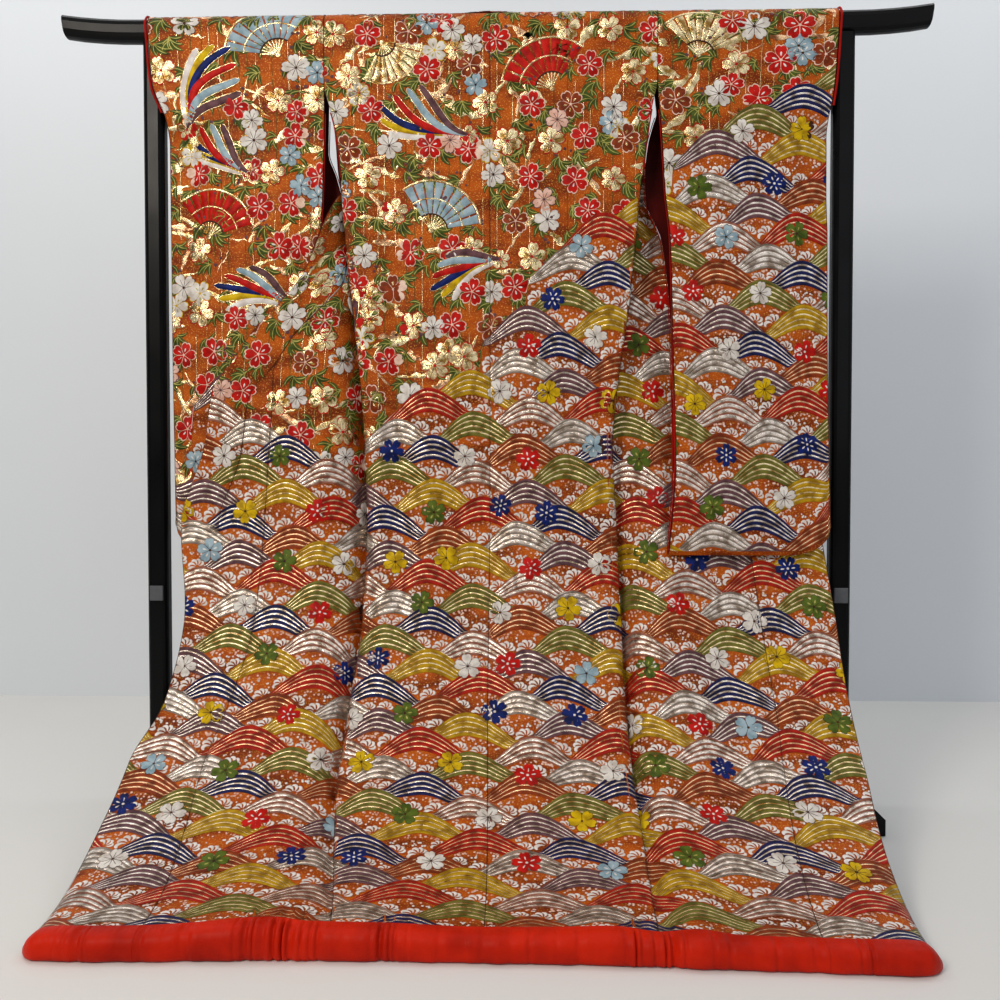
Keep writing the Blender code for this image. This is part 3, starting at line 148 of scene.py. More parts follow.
# Soft creases of the cloth: where on the cloth each starts and ends, how far it
# leans sideways on its way, its width, and its depth (minus is a trough, plus a ridge).
CREASE_COLUMNS = ("u", "start_v", "end_v", "lean", "width", "depth")
BODY_CREASES = (
    (-0.215, 0.05, 0.52, 0.020, 0.016, -0.0022), (-0.128, 0.10, 0.80, -0.012, 0.022, 0.0020),
    (-0.085, 0.62, 1.30, 0.018, 0.024, -0.0034), (-0.030, 0.06, 0.40, 0.006, 0.014, -0.0016),
    (0.040, 0.70, 1.42, -0.022, 0.026, 0.0036), (0.098, 0.30, 0.95, 0.030, 0.018, -0.0030),
    (0.165, 0.55, 1.30, 0.024, 0.022, 0.0042), (0.205, 0.42, 1.12, 0.018, 0.015, -0.0044),
    (0.246, 0.80, 1.62, -0.010, 0.020, 0.0036), (-0.180, 0.90, 1.62, -0.020, 0.020, 0.0034),
    (-0.238, 0.66, 1.34, 0.012, 0.014, -0.0036), (0.015, 1.10, 1.76, 0.012, 0.030, -0.0026),
    (-0.120, 1.34, 1.80, -0.024, 0.020, -0.0030), (0.128, 1.20, 1.78, 0.030, 0.022, -0.0034),
    (-0.355, 0.70, 1.30, -0.030, 0.016, 0.0040), (-0.420, 0.92, 1.60, -0.024, 0.022, -0.0042),
    (-0.505, 1.05, 1.70, -0.040, 0.022, 0.0034), (-0.590, 1.12, 1.66, -0.030, 0.024, -0.0034),
    (-0.470, 0.18, 0.72, 0.030, 0.018, -0.0030), (-0.560, 0.10, 0.60, -0.020, 0.020, 0.0026),
    (0.352, 0.62, 1.20, 0.026, 0.016, 0.0042), (0.412, 0.84, 1.58, 0.034, 0.022, -0.0044),
    (0.498, 0.98, 1.66, 0.030, 0.020, 0.0036), (0.600, 1.00, 1.60, 0.030, 0.024, -0.0036),
    (0.452, 0.16, 0.66, -0.030, 0.018, 0.0028), (0.548, 0.12, 0.58, 0.016, 0.020, -0.0026),
    (0.222, 0.24, 1.80, 0.004, 0.026, 0.0080), (0.256, 0.34, 1.60, -0.006, 0.016, -0.0050),
    (0.150, 0.10, 1.30, 0.012, 0.030, -0.0050), (-0.228, 0.26, 1.50, 0.016, 0.026, 0.0076),
    (-0.262, 0.34, 1.30, 0.010, 0.016, -0.0048), (-0.165, 0.22, 1.20, -0.004, 0.030, -0.0046),
)
SLEEVE_CREASES = (
    (-0.600, 0.02, 0.52, 0.035, 0.014, -0.0026), (-0.545, 0.16, 0.86, 0.010, 0.018, 0.0024),
    (-0.482, 0.05, 0.46, -0.014, 0.016, -0.0022), (-0.420, 0.30, 0.96, 0.016, 0.020, 0.0026),
    (-0.372, 0.08, 0.62, 0.008, 0.014, -0.0024), (-0.505, 0.60, 1.00, -0.012, 0.016, -0.0020),
    (0.608, 0.02, 0.50, -0.030, 0.014, -0.0026), (0.556, 0.20, 0.84, 0.012, 0.018, 0.0026),
    (0.490, 0.06, 0.52, 0.016, 0.016, -0.0024), (0.432, 0.36, 0.98, -0.010, 0.018, 0.0024),
    (0.386, 0.10, 0.70, 0.012, 0.014, -0.0028), (0.520, 0.62, 1.00, 0.014, 0.016, -0.0022),
)
GATHER_COLUMNS = ("start_x", "end_x", "pitch", "depth")
GATHERS = (
    (-0.320, -0.190, 0.0125, 0.0075), (-0.140, -0.075, 0.0120, 0.0060), (0.195, 0.290, 0.0130, 0.0070),
    (-0.560, -0.500, 0.0150, 0.0030), (0.480, 0.540, 0.0150, 0.0034), (-0.060, 0.180, 0.0310, 0.0022),
    (0.300, 0.470, 0.0270, 0.0022), (-0.480, -0.330, 0.0290, 0.0020),
)

# The height on the cloth at which the waves begin, along u.
BODY_WAVE_TOP = ((-0.95, 0.66), (-0.60, 0.66), (-0.42, 0.74), (-0.31, 0.84), (-0.17, 0.74), (0.05, 0.54),
                 (0.29, 0.31), (0.45, 0.27), (0.95, 0.27))
SLEEVE_WAVE_TOP = ((-0.68, 0.97), (-0.58, 0.80), (-0.50, 0.66), (-0.43, 0.60), (-0.36, 0.66), (-0.30, 0.74),
                   (0.30, 0.31), (0.45, 0.16), (0.60, 0.06), (0.68, 0.03))

# One repeat of the waves: column and row of the loom's repeat, how far the crest is moved off its
# place, the wave's width, its rise, where its crest is along it, and its threads.
WAVE_COLUMNS = ("column", "row", "shift_u", "shift_v", "width", "rise", "crest", "threads")
WAVE_PITCH_U = 0.167
WAVE_PITCH_V = 0.0412
WAVE_REPEAT = (
    (0, 0, 0.006, 0.000, 0.252, 0.080, 0.42, "red"), (1, 0, -0.010, 0.005, 0.216, 0.069, 0.38, "navy"),
    (0, 1, 0.000, -0.003, 0.234, 0.071, 0.36, "silver"), (1, 1, 0.012, 0.004, 0.224, 0.069, 0.44, "brown"),
    (0, 2, -0.012, 0.003, 0.244, 0.077, 0.40, "mustard"), (1, 2, 0.004, -0.004, 0.229, 0.073, 0.37, "mauve"),
    (0, 3, 0.010, 0.004, 0.221, 0.069, 0.43, "beige"), (1, 3, -0.006, 0.000, 0.257, 0.082, 0.39, "red"),
    (0, 4, -0.004, -0.005, 0.239, 0.073, 0.38, "olive"), (1, 4, 0.010, 0.005, 0.218, 0.069, 0.41, "silver"),
    (0, 5, 0.008, 0.002, 0.249, 0.078, 0.37, "brown"), (1, 5, -0.010, -0.003, 0.226, 0.071, 0.43, "navy"),
    (0, 6, -0.008, 0.004, 0.231, 0.073, 0.41, "beige"), (1, 6, 0.006, -0.002, 0.242, 0.076, 0.38, "olive"),
    (0, 7, 0.012, -0.002, 0.224, 0.070, 0.39, "mauve"), (1, 7, -0.004, 0.004, 0.244, 0.077, 0.42, "mustard"),
)

# Large motifs among the flowers: open fans, and bundles of streamers.
FAN_COLUMNS = ("u", "v", "radius", "turn", "thread")
FANS = (
    (-0.112, 0.415, 0.092, 24.0, "pale_silver"), (0.118, 0.150, 0.094, -22.0, "red"),
    (-0.205, 0.060, 0.074, 150.0, "gold"), (-0.640, 0.300, 0.085, -12.0, "red"),
    (0.520, 0.080, 0.080, 30.0, "pale_silver"),
)
SLEEVE_FANS = (
    (-0.548, 0.420, 0.088, 18.0, "red"), (-0.405, 0.080, 0.090, -26.0, "pale_silver"),
    (0.395, 0.090, 0.078, 14.0, "gold"),
)
STREAMER_COLUMNS = ("u", "v", "length", "turn", "bend")
STREAMERS = (
    (-0.040, 0.235, 0.190, 205.0, 0.34), (0.020, 0.470, 0.150, 160.0, -0.30),
    (-0.255, 0.640, 0.170, 250.0, 0.26), (-0.480, 0.480, 0.190, 235.0, 0.30),
)
SLEEVE_STREAMERS = (
    (-0.590, 0.215, 0.190, 310.0, 0.32), (-0.380, 0.560, 0.170, 200.0, -0.30),
    (-0.470, 0.300, 0.150, 220.0, 0.28),
)


# ---- colour and nodes ----------------------------------------------------------------------------
def linear(hex_value: str) -> tuple[float, float, float, float]:
    """Turn an sRGB hex value to a linear colour.

    Args:
        hex_value: Colour such as "#B5501C".

    Returns:
        Linear red, green, blue and an alpha of 1.
    """
    parts = [int(hex_value[k:k + 2], 16) / 255.0 for k in (1, 3, 5)]
    red, green, blue = (c / 12.92 if c <= 0.04045 else ((c + 0.055) / 1.055) ** 2.4 for c in parts)
    return red, green, blue, 1.0


def add_node(tree: bpy.types.NodeTree, kind: str, settings: Optional[dict] = None,
             links: Optional[dict] = None) -> bpy.types.Node:
    """Add a node to a tree with its settings and links.

    Args:
        tree: The node tree.
        kind: The node's type name.
        settings: Attribute or input name (or input number) to value.
        links: Input name or number to the socket that feeds it.

    Returns:
        The new node.
    """
    node = tree.nodes.new(kind)
    for key, value in (settings or {}).items():
        if isinstance(key, str) and hasattr(node, key):
            setattr(node, key, value)
        else:
            node.inputs[key].default_value = value
    for key, socket in (links or {}).items():
        tree.links.new(socket, node.inputs[key])
    return node


def new_material(name: str) -> tuple[bpy.types.Material, bpy.types.NodeTree, bpy.types.Node]:
    """Start a material.

    Args:
        name: The material's name.

    Returns:
        The material, its node tree, and its Principled BSDF.
    """
    material = bpy.data.materials.new(name)
    material.use_nodes = True
    tree = material.node_tree
    return material, tree, tree.nodes["Principled BSDF"]


# ---- finishes ------------------------------------------------------------------------------------
@dataclass(frozen=True)
class Thread:
    """Floats of silk or foil thread laid over the brocade's ground.

    Silk floats are soft and glossy along the thread; foil-wrapped threads are metal and glint, and on the
    foil the colour also holds painted glints: bright cream patches beside dull brown ones.
    """

    name: str
    colour: str
    shade: str
    metallic: float = 0.0
    roughness: float = 0.44
    sheen: float = 0.0
    specular: float = 0.12
    pitch_mm: float = 2.2
    relief: float = 0.35
    crumple: float = 0.0

    def build(self) -> bpy.types.Material:
        """Make the thread's material: its colour runs a little in patches, which on the foil threads are
        painted glints and painted dull reflection, and its floats stand as fine ribs.
        """
        material, tree, shader = new_material("woven_thread_" + self.name)
        cloth = add_node(tree, "ShaderNodeUVMap", {"uv_map": "cloth"})
        patches = add_node(tree, "ShaderNodeTexNoise", {"Scale": 55.0, "Detail": 2.0},
                           {"Vector": cloth.outputs[0]})
        # Patches from shade to colour: random tone on the silk; on the foil, painted glints (bright cream)
        # beside painted dull reflection (brown).
        ramp = add_node(tree, "ShaderNodeValToRGB", {}, {"Fac": patches.outputs[0]})
        ramp.color_ramp.elements[0].position = 0.36
        ramp.color_ramp.elements[0].color = linear(self.shade)
        ramp.color_ramp.elements[1].position = 0.60
        ramp.color_ramp.elements[1].color = linear(self.colour)
        # Real floats lie 0.3 mm apart; they are drawn coarser so that they show as ribs.
        ribs = add_node(tree, "ShaderNodeTexWave",
                        {"bands_direction": "Y", "Scale": math.pi / 10.0 / (self.pitch_mm * MM),
                         "Distortion": 1.6,
                         "Detail": 1.0, "Detail Scale": 60.0}, {"Vector": cloth.outputs[0]})
        bump = add_node(tree, "ShaderNodeBump", {"Strength": self.relief, "Distance": 0.35 * MM},
                        {"Height": ribs.outputs["Fac"]})
        if self.crumple > 0.0:
            wide = add_node(tree, "ShaderNodeTexNoise", {"Scale": 110.0, "Detail": 2.0},
                            {"Vector": cloth.outputs[0]})
            bump = add_node(tree, "ShaderNodeBump", {"Strength": self.crumple, "Distance": 2.2 * MM},
                            {"Height": wide.outputs[0], "Normal": bump.outputs[0]})
        tree.links.new(ramp.outputs[0], shader.inputs["Base Color"])
        tree.links.new(bump.outputs[0], shader.inputs["Normal"])
        shader.inputs["Roughness"].default_value = self.roughness
        shader.inputs["Metallic"].default_value = self.metallic
        shader.inputs["Specular IOR Level"].default_value = self.specular
        shader.inputs["Sheen Weight"].default_value = self.sheen
        shader.inputs["Sheen Roughness"].default_value = 0.4
        return material


@dataclass(frozen=True)
class BrocadeGround:
    """Orange silk ground of the brocade, woven in satin with brown shading and a little foil."""

    name: str = "brocade_ground"
    silk: str = "#A4440C"
    deep: str = "#742A08"
    bright: str = "#BC560E"
    foil: str = "#DCA04A"
    pick_mm: float = 1.8

    def build(self) -> bpy.types.Material:
        """Make the ground: banded orange and brown patches, picks of weft, and flecks of foil."""
        material, tree, shader = new_material(self.name)
        cloth = add_node(tree, "ShaderNodeUVMap", {"uv_map": "cloth"})
        wide = add_node(tree, "ShaderNodeMapping", {"Scale": (9.0, 20.0, 1.0)}, {"Vector": cloth.outputs[0]})
        bands = add_node(tree, "ShaderNodeTexNoise", {"Scale": 1.0, "Detail": 3.0, "Roughness": 0.6},
                         {"Vector": wide.outputs[0]})
        ramp = add_node(tree, "ShaderNodeValToRGB", {}, {"Fac": bands.outputs[0]})
        ramp.color_ramp.elements[0].position = 0.38
        ramp.color_ramp.elements[0].color = linear(self.deep)
        ramp.color_ramp.elements[1].position = 0.62
        ramp.color_ramp.elements[1].color = linear(self.bright)
        middle = ramp.color_ramp.elements.new(0.50)
        middle.color = linear(self.silk)
        # Real picks are 0.4 mm apart; they are drawn coarser so that they show.
        picks = add_node(tree, "ShaderNodeTexWave",
                         {"bands_direction": "Y", "Scale": math.pi / 10.0 / (self.pick_mm * MM),
                          "Distortion": 2.2,
                          "Detail": 2.0, "Detail Scale": 90.0}, {"Vector": cloth.outputs[0]})
        flecks = add_node(tree, "ShaderNodeTexNoise", {"Scale": 420.0, "Detail": 1.0},
                          {"Vector": cloth.outputs[0]})
        foil_at = add_node(tree, "ShaderNodeMapRange", {"From Min": 0.60, "From Max": 0.68},
                           {"Value": flecks.outputs[0]})
        mixed = add_node(tree, "ShaderNodeMix", {"data_type": "RGBA"}, {"Factor": foil_at.outputs[0]})
        tree.links.new(ramp.outputs[0], mixed.inputs[6])
        mixed.inputs[7].default_value = linear(self.foil)
        tree.links.new(mixed.outputs[2], shader.inputs["Base Color"])
        metal = add_node(tree, "ShaderNodeMapRange", {"To Max": 0.55}, {"Value": foil_at.outputs[0]})
        tree.links.new(metal.outputs[0], shader.inputs["Metallic"])
        bump = add_node(tree, "ShaderNodeBump", {"Strength": 0.35, "Distance": 0.3 * MM},
                        {"Height": picks.outputs["Fac"]})
        tree.links.new(bump.outputs[0], shader.inputs["Normal"])
        shader.inputs["Roughness"].default_value = 0.50
        shader.inputs["Specular IOR Level"].default_value = 0.10
        return material


@dataclass(frozen=True)
class RedSilk:
    """Red silk: plain weave for the lining and its edgings, satin over the padded hem."""

    name: str
    colour: str = "#A81206"
    shade: str = "#7C0C04"
    roughness: float = 0.55
    specular: float = 0.08
    wrinkle: float = 0.35

    def build(self) -> bpy.types.Material:
        """Make the silk: soft changes of colour, fine drawn wrinkles and a low sheen."""
        material, tree, shader = new_material(self.name)
        place = add_node(tree, "ShaderNodeTexCoord")
        cloud = add_node(tree, "ShaderNodeTexNoise", {"Scale": 14.0, "Detail": 3.0},
                         {"Vector": place.outputs["Object"]})
        ramp = add_node(tree, "ShaderNodeValToRGB", {}, {"Fac": cloud.outputs[0]})
        ramp.color_ramp.elements[0].position = 0.30
        ramp.color_ramp.elements[0].color = linear(self.shade)
        ramp.color_ramp.elements[1].position = 0.62
        ramp.color_ramp.elements[1].color = linear(self.colour)
        drawn = add_node(tree, "ShaderNodeMapping", {"Scale": (150.0, 30.0, 45.0)},
                         {"Vector": place.outputs["Object"]})
        wrinkles = add_node(tree, "ShaderNodeTexNoise", {"Scale": 1.0, "Detail": 3.0},
                            {"Vector": drawn.outputs[0]})
        bump = add_node(tree, "ShaderNodeBump", {"Strength": self.wrinkle, "Distance": 1.2 * MM},
                        {"Height": wrinkles.outputs[0]})
        tree.links.new(ramp.outputs[0], shader.inputs["Base Color"])
        tree.links.new(bump.outputs[0], shader.inputs["Normal"])
        shader.inputs["Roughness"].default_value = self.roughness
        shader.inputs["Specular IOR Level"].default_value = self.specular
        return material


@dataclass(frozen=True)
class Lacquer:
    """Black lacquer brushed over wood and polished: deep, glossy, with the wood's long lines."""

    name: str = "black_lacquer"
    colour: str = "#050506"
    roughness: float = 0.30

    def build(self) -> bpy.types.Material:
        """Make the lacquer: near-black, a clear coat, faint lines under it and rubbed places."""
        material, tree, shader = new_material(self.name)
        place = add_node(tree, "ShaderNodeTexCoord")
        rubbed = add_node(tree, "ShaderNodeTexNoise", {"Scale": 9.0, "Detail": 4.0},
                          {"Vector": place.outputs["Object"]})
        rough = add_node(tree, "ShaderNodeMapRange",
                         {"From Min": 0.3, "From Max": 0.7, "To Min": self.roughness - 0.05,
                          "To Max": self.roughness + 0.12}, {"Value": rubbed.outputs[0]})
        tree.links.new(rough.outputs[0], shader.inputs["Roughness"])
        bump = add_node(tree, "ShaderNodeBump", {"Strength": 0.08, "Distance": 0.4 * MM},
                        {"Height": rubbed.outputs[0]})
        tree.links.new(bump.outputs[0], shader.inputs["Normal"])
        shader.inputs["Base Color"].default_value = linear(self.colour)
        shader.inputs["Specular IOR Level"].default_value = 0.10
        shader.inputs["Coat Weight"].default_value = 0.05
        shader.inputs["Coat Roughness"].default_value = 0.10
        return material


@dataclass(frozen=True)
class PaintedPlate:
    """Sheet steel plate, painted grey and worn dull."""

    name: str = "grey_plate"
    colour: str = "#5F6166"

    def build(self) -> bpy.types.Material:
        """Make the plate: flat grey paint with a slight mottle."""
        material, tree, shader = new_material(self.name)
        place = add_node(tree, "ShaderNodeTexCoord")
        mottle = add_node(tree, "ShaderNodeTexNoise", {"Scale": 160.0, "Detail": 2.0},
                          {"Vector": place.outputs["Object"]})
        ramp = add_node(tree, "ShaderNodeValToRGB", {}, {"Fac": mottle.outputs[0]})
        ramp.color_ramp.elements[0].color = linear("#4E5054")
        ramp.color_ramp.elements[1].color = linear(self.colour)
        tree.links.new(ramp.outputs[0], shader.inputs["Base Color"])
        shader.inputs["Roughness"].default_value = 0.5
        shader.inputs["Metallic"].default_value = 0.3
        return material


@dataclass(frozen=True)
class StudioPaint:
    """Matt painted floor and wall of the room, not part of the object."""

    name: str
    colour: str

    def build(self) -> bpy.types.Material:
        """Make the paint: matt, with the faintest mottle."""
        material, tree, shader = new_material(self.name)
        place = add_node(tree, "ShaderNodeTexCoord")
        mottle = add_node(tree, "ShaderNodeTexNoise", {"Scale": 2.0, "Detail": 3.0},
                          {"Vector": place.outputs["Object"]})
        mixed = add_node(tree, "ShaderNodeMix", {"data_type": "RGBA"}, {"Factor": mottle.outputs[0]})
        base = linear(self.colour)
        mixed.inputs[6].default_value = base
        mixed.inputs[7].default_value = (base[0] * 0.97, base[1] * 0.97, base[2] * 0.97, 1.0)
        tree.links.new(mixed.outputs[2], shader.inputs["Base Color"])
        shader.inputs["Roughness"].default_value = 0.75
        return material


class Floss(Enum):
    """Threads of the brocade's figures."""

    RED = Thread("red", "#B01E0C", "#7C1207")
    NAVY = Thread("navy", "#1D2154", "#11132F")
    MAUVE = Thread("mauve", "#6E4A4E", "#4C3036")
    OLIVE = Thread("olive", "#74702C", "#524F1C")
    MUSTARD = Thread("mustard", "#BE930E", "#8C6806")
    SILVER = Thread("silver_silk", "#94867A", "#6A5C50", 0.2, 0.42)
    BEIGE = Thread("beige", "#9E6652", "#743F2E")
    BROWN = Thread("brown", "#943A12", "#6A270B")
    # Foil threads: the bright cream colour and the dull brown shade are painted glints and painted dull
    # reflection, over the metal's own reflections.
    FOIL_GOLD = Thread("foil_gold", "#FFEBB8", "#9C7434", 0.9, 0.24, 0.0, 0.5, 1.6, 0.4, 1.0)
    FOIL_SILVER = Thread("foil_silver", "#FFF2E4", "#93806F", 0.9, 0.24, 0.0, 0.5, 1.6, 0.4, 1.0)
    FOIL_COPPER = Thread("foil_copper", "#FFD2A2", "#8C5430", 0.9, 0.25, 0.0, 0.5, 1.6, 0.4, 1.0)
    FOAM = Thread("foam_white", "#EDE6E0", "#D2C6BE", 0.0, 0.50, 0.05, 0.4, 1.8, 0.3)
    PINK_DOT = Thread("pale_pink", "#EBC4B2", "#D29C86")
    BLOSSOM_RED = Thread("blossom_red", "#C8160A", "#9A0C06", pitch_mm=1.8)
    BLOSSOM_NAVY = Thread("blossom_navy", "#10246C", "#081340", pitch_mm=1.8)
    BLOSSOM_GREEN = Thread("blossom_green", "#5A6C20", "#3E4E14", pitch_mm=1.8)
    BLOSSOM_YELLOW = Thread("blossom_yellow", "#DCB606", "#A88404", pitch_mm=1.8)
    BLOSSOM_WHITE = Thread("blossom_white", "#E6E0D8", "#C4BAB0", pitch_mm=1.8)
    BLOSSOM_BLUE = Thread("blossom_blue", "#A2B8C2", "#7E98A4", pitch_mm=1.8)
    LEAF = Thread("leaf", "#4E5A1E", "#2E3A12")
    LEAF_LIGHT = Thread("leaf_vein", "#B4AC5C", "#84803C", 0.3, 0.36)
    OUTLINE = Thread("cream_outline", "#F0D2BE", "#D6AC96")
    DARK_LINE = Thread("dark_outline_and_seam_shadow", "#4A2816", "#30180C")


WAVE_THREADS = {
    "red": (Floss.RED, Floss.FOIL_COPPER, 0.72), "navy": (Floss.NAVY, Floss.FOIL_SILVER, 0.66),
    "mauve": (Floss.MAUVE, Floss.FOIL_SILVER, 0.66), "olive": (Floss.OLIVE, Floss.FOIL_GOLD, 0.70),
    "mustard": (Floss.MUSTARD, Floss.FOIL_GOLD, 0.74), "silver": (Floss.SILVER, Floss.FOIL_SILVER, 0.36),
    "beige": (Floss.BEIGE, Floss.FOIL_SILVER, 0.40), "brown": (Floss.BROWN, Floss.FOIL_COPPER, 0.70),
}
LARGE_THREADS = {"red": Floss.BLOSSOM_RED, "pale_silver": Floss.BLOSSOM_BLUE, "gold": Floss.FOIL_GOLD}


# ---- the curves on which the garment hangs -------------------------------------------------------
Array = np.ndarray


def ease(start: float, end: float, at: Array) -> Array:
    """Smooth step from 0 at start to 1 at end."""
    t = np.clip((np.asarray(at, float) - start) / (end - start), 0.0, 1.0)
    return t * t * (3.0 - 2.0 * t)


def smooth_at(keys: Array, values: Array, at: Array) -> Array:
    """Read a smooth curve, without overshoot, through a table's rows.

    Args:
        keys: The rows' keys, rising.
        values: The rows' values.
        at: Where to read.

    Returns:
        The values there.
    """
    steps = np.diff(values) / np.diff(keys)
    product = steps[:-1] * steps[1:]
    total = steps[:-1] + steps[1:]
    inner = np.where(product > 0.0, 2.0 * product / np.where(total == 0.0, 1.0, total), 0.0)
    tangent = np.concatenate([steps[:1], inner, steps[-1:]])
    at = np.clip(np.asarray(at, float), keys[0], keys[-1])
    i = np.clip(np.searchsorted(keys, at, side="right") - 1, 0, len(keys) - 2)
    span = keys[i + 1] - keys[i]
    t = (at - keys[i]) / span
    start = values[i] * (1 + 2 * t) * (1 - t) ** 2 + tangent[i] * span * t * (1 - t) ** 2
    return start + values[i + 1] * t * t * (3 - 2 * t) + tangent[i + 1] * span * t * t * (t - 1)


@dataclass(frozen=True)
class Table:
    """A table with named columns, read smoothly between its rows by its first column."""

    columns: tuple[str, ...]
    rows: tuple[tuple[float, ...], ...]

    def read(self, at: Array) -> dict[str, Array]:
        """Read every column.

        Args:
            at: Values of the first column.

        Returns:
            Column name to values.
        """
        data = np.array(self.rows, float)
        found = {self.columns[0]: np.asarray(at, float)}
        for index, column in enumerate(self.columns[1:], start=1):
            found[column] = smooth_at(data[:, 0], data[:, index], at)
        return found


def dense_curves(points: Array, steps: int = 24) -> tuple[Array, Array]:
    """Run a centripetal curve through each row of points, but not through the first and last.

    Args:
        points: Rows of points, (rows, points, 2).
        steps: Steps from one point to the next.

    Returns:
        The dense points, (rows, dense, 2), and the length up to each, (rows, dense).
    """
    pieces = []
    t = np.linspace(0.0, 1.0, steps, endpoint=False)[None, :, None]
    for k in range(1, points.shape[1] - 2):
        p0, p1, p2, p3 = (points[:, k + m, None, :] for m in (-1, 0, 1, 2))
        d0, d1, d2 = (np.maximum(1e-6, np.linalg.norm(b - a, axis=-1, keepdims=True) ** 0.5)
                      for a, b in ((p0, p1), (p1, p2), (p2, p3)))
        m1 = p2 - p1 + d1 * ((p1 - p0) / d0 - (p2 - p0) / (d0 + d1))
        m2 = p2 - p1 + d1 * ((p3 - p2) / d2 - (p3 - p1) / (d1 + d2))
        pieces.append(p1 * (2 * t ** 3 - 3 * t ** 2 + 1) + m1 * (t ** 3 - 2 * t ** 2 + t)
                      + p2 * (3 * t ** 2 - 2 * t ** 3) + m2 * (t ** 3 - t ** 2))
    pieces.append(points[:, -2:-1, :])
    line = np.concatenate(pieces, axis=1)
    steps_along = np.linalg.norm(np.diff(line, axis=1), axis=-1)
    lengths = np.concatenate([np.zeros((len(line), 1)), np.cumsum(steps_along, axis=1)], axis=1)
    return line, lengths


def along(line: Array, lengths: Array, distance: Array) -> Array:
    """Find points at distances along rows of dense curves.

    Args:
        line: Dense points, (rows, dense, 2).
        lengths: Length up to each, (rows, dense).
        distance: Distances wanted, (rows, wanted).

    Returns:
        The points, (rows, wanted, 2).
    """
    rows = [np.stack([np.interp(d, l, p[:, 0]), np.interp(d, l, p[:, 1])], axis=-1)
            for p, l, d in zip(line, lengths, distance)]
    return np.array(rows)


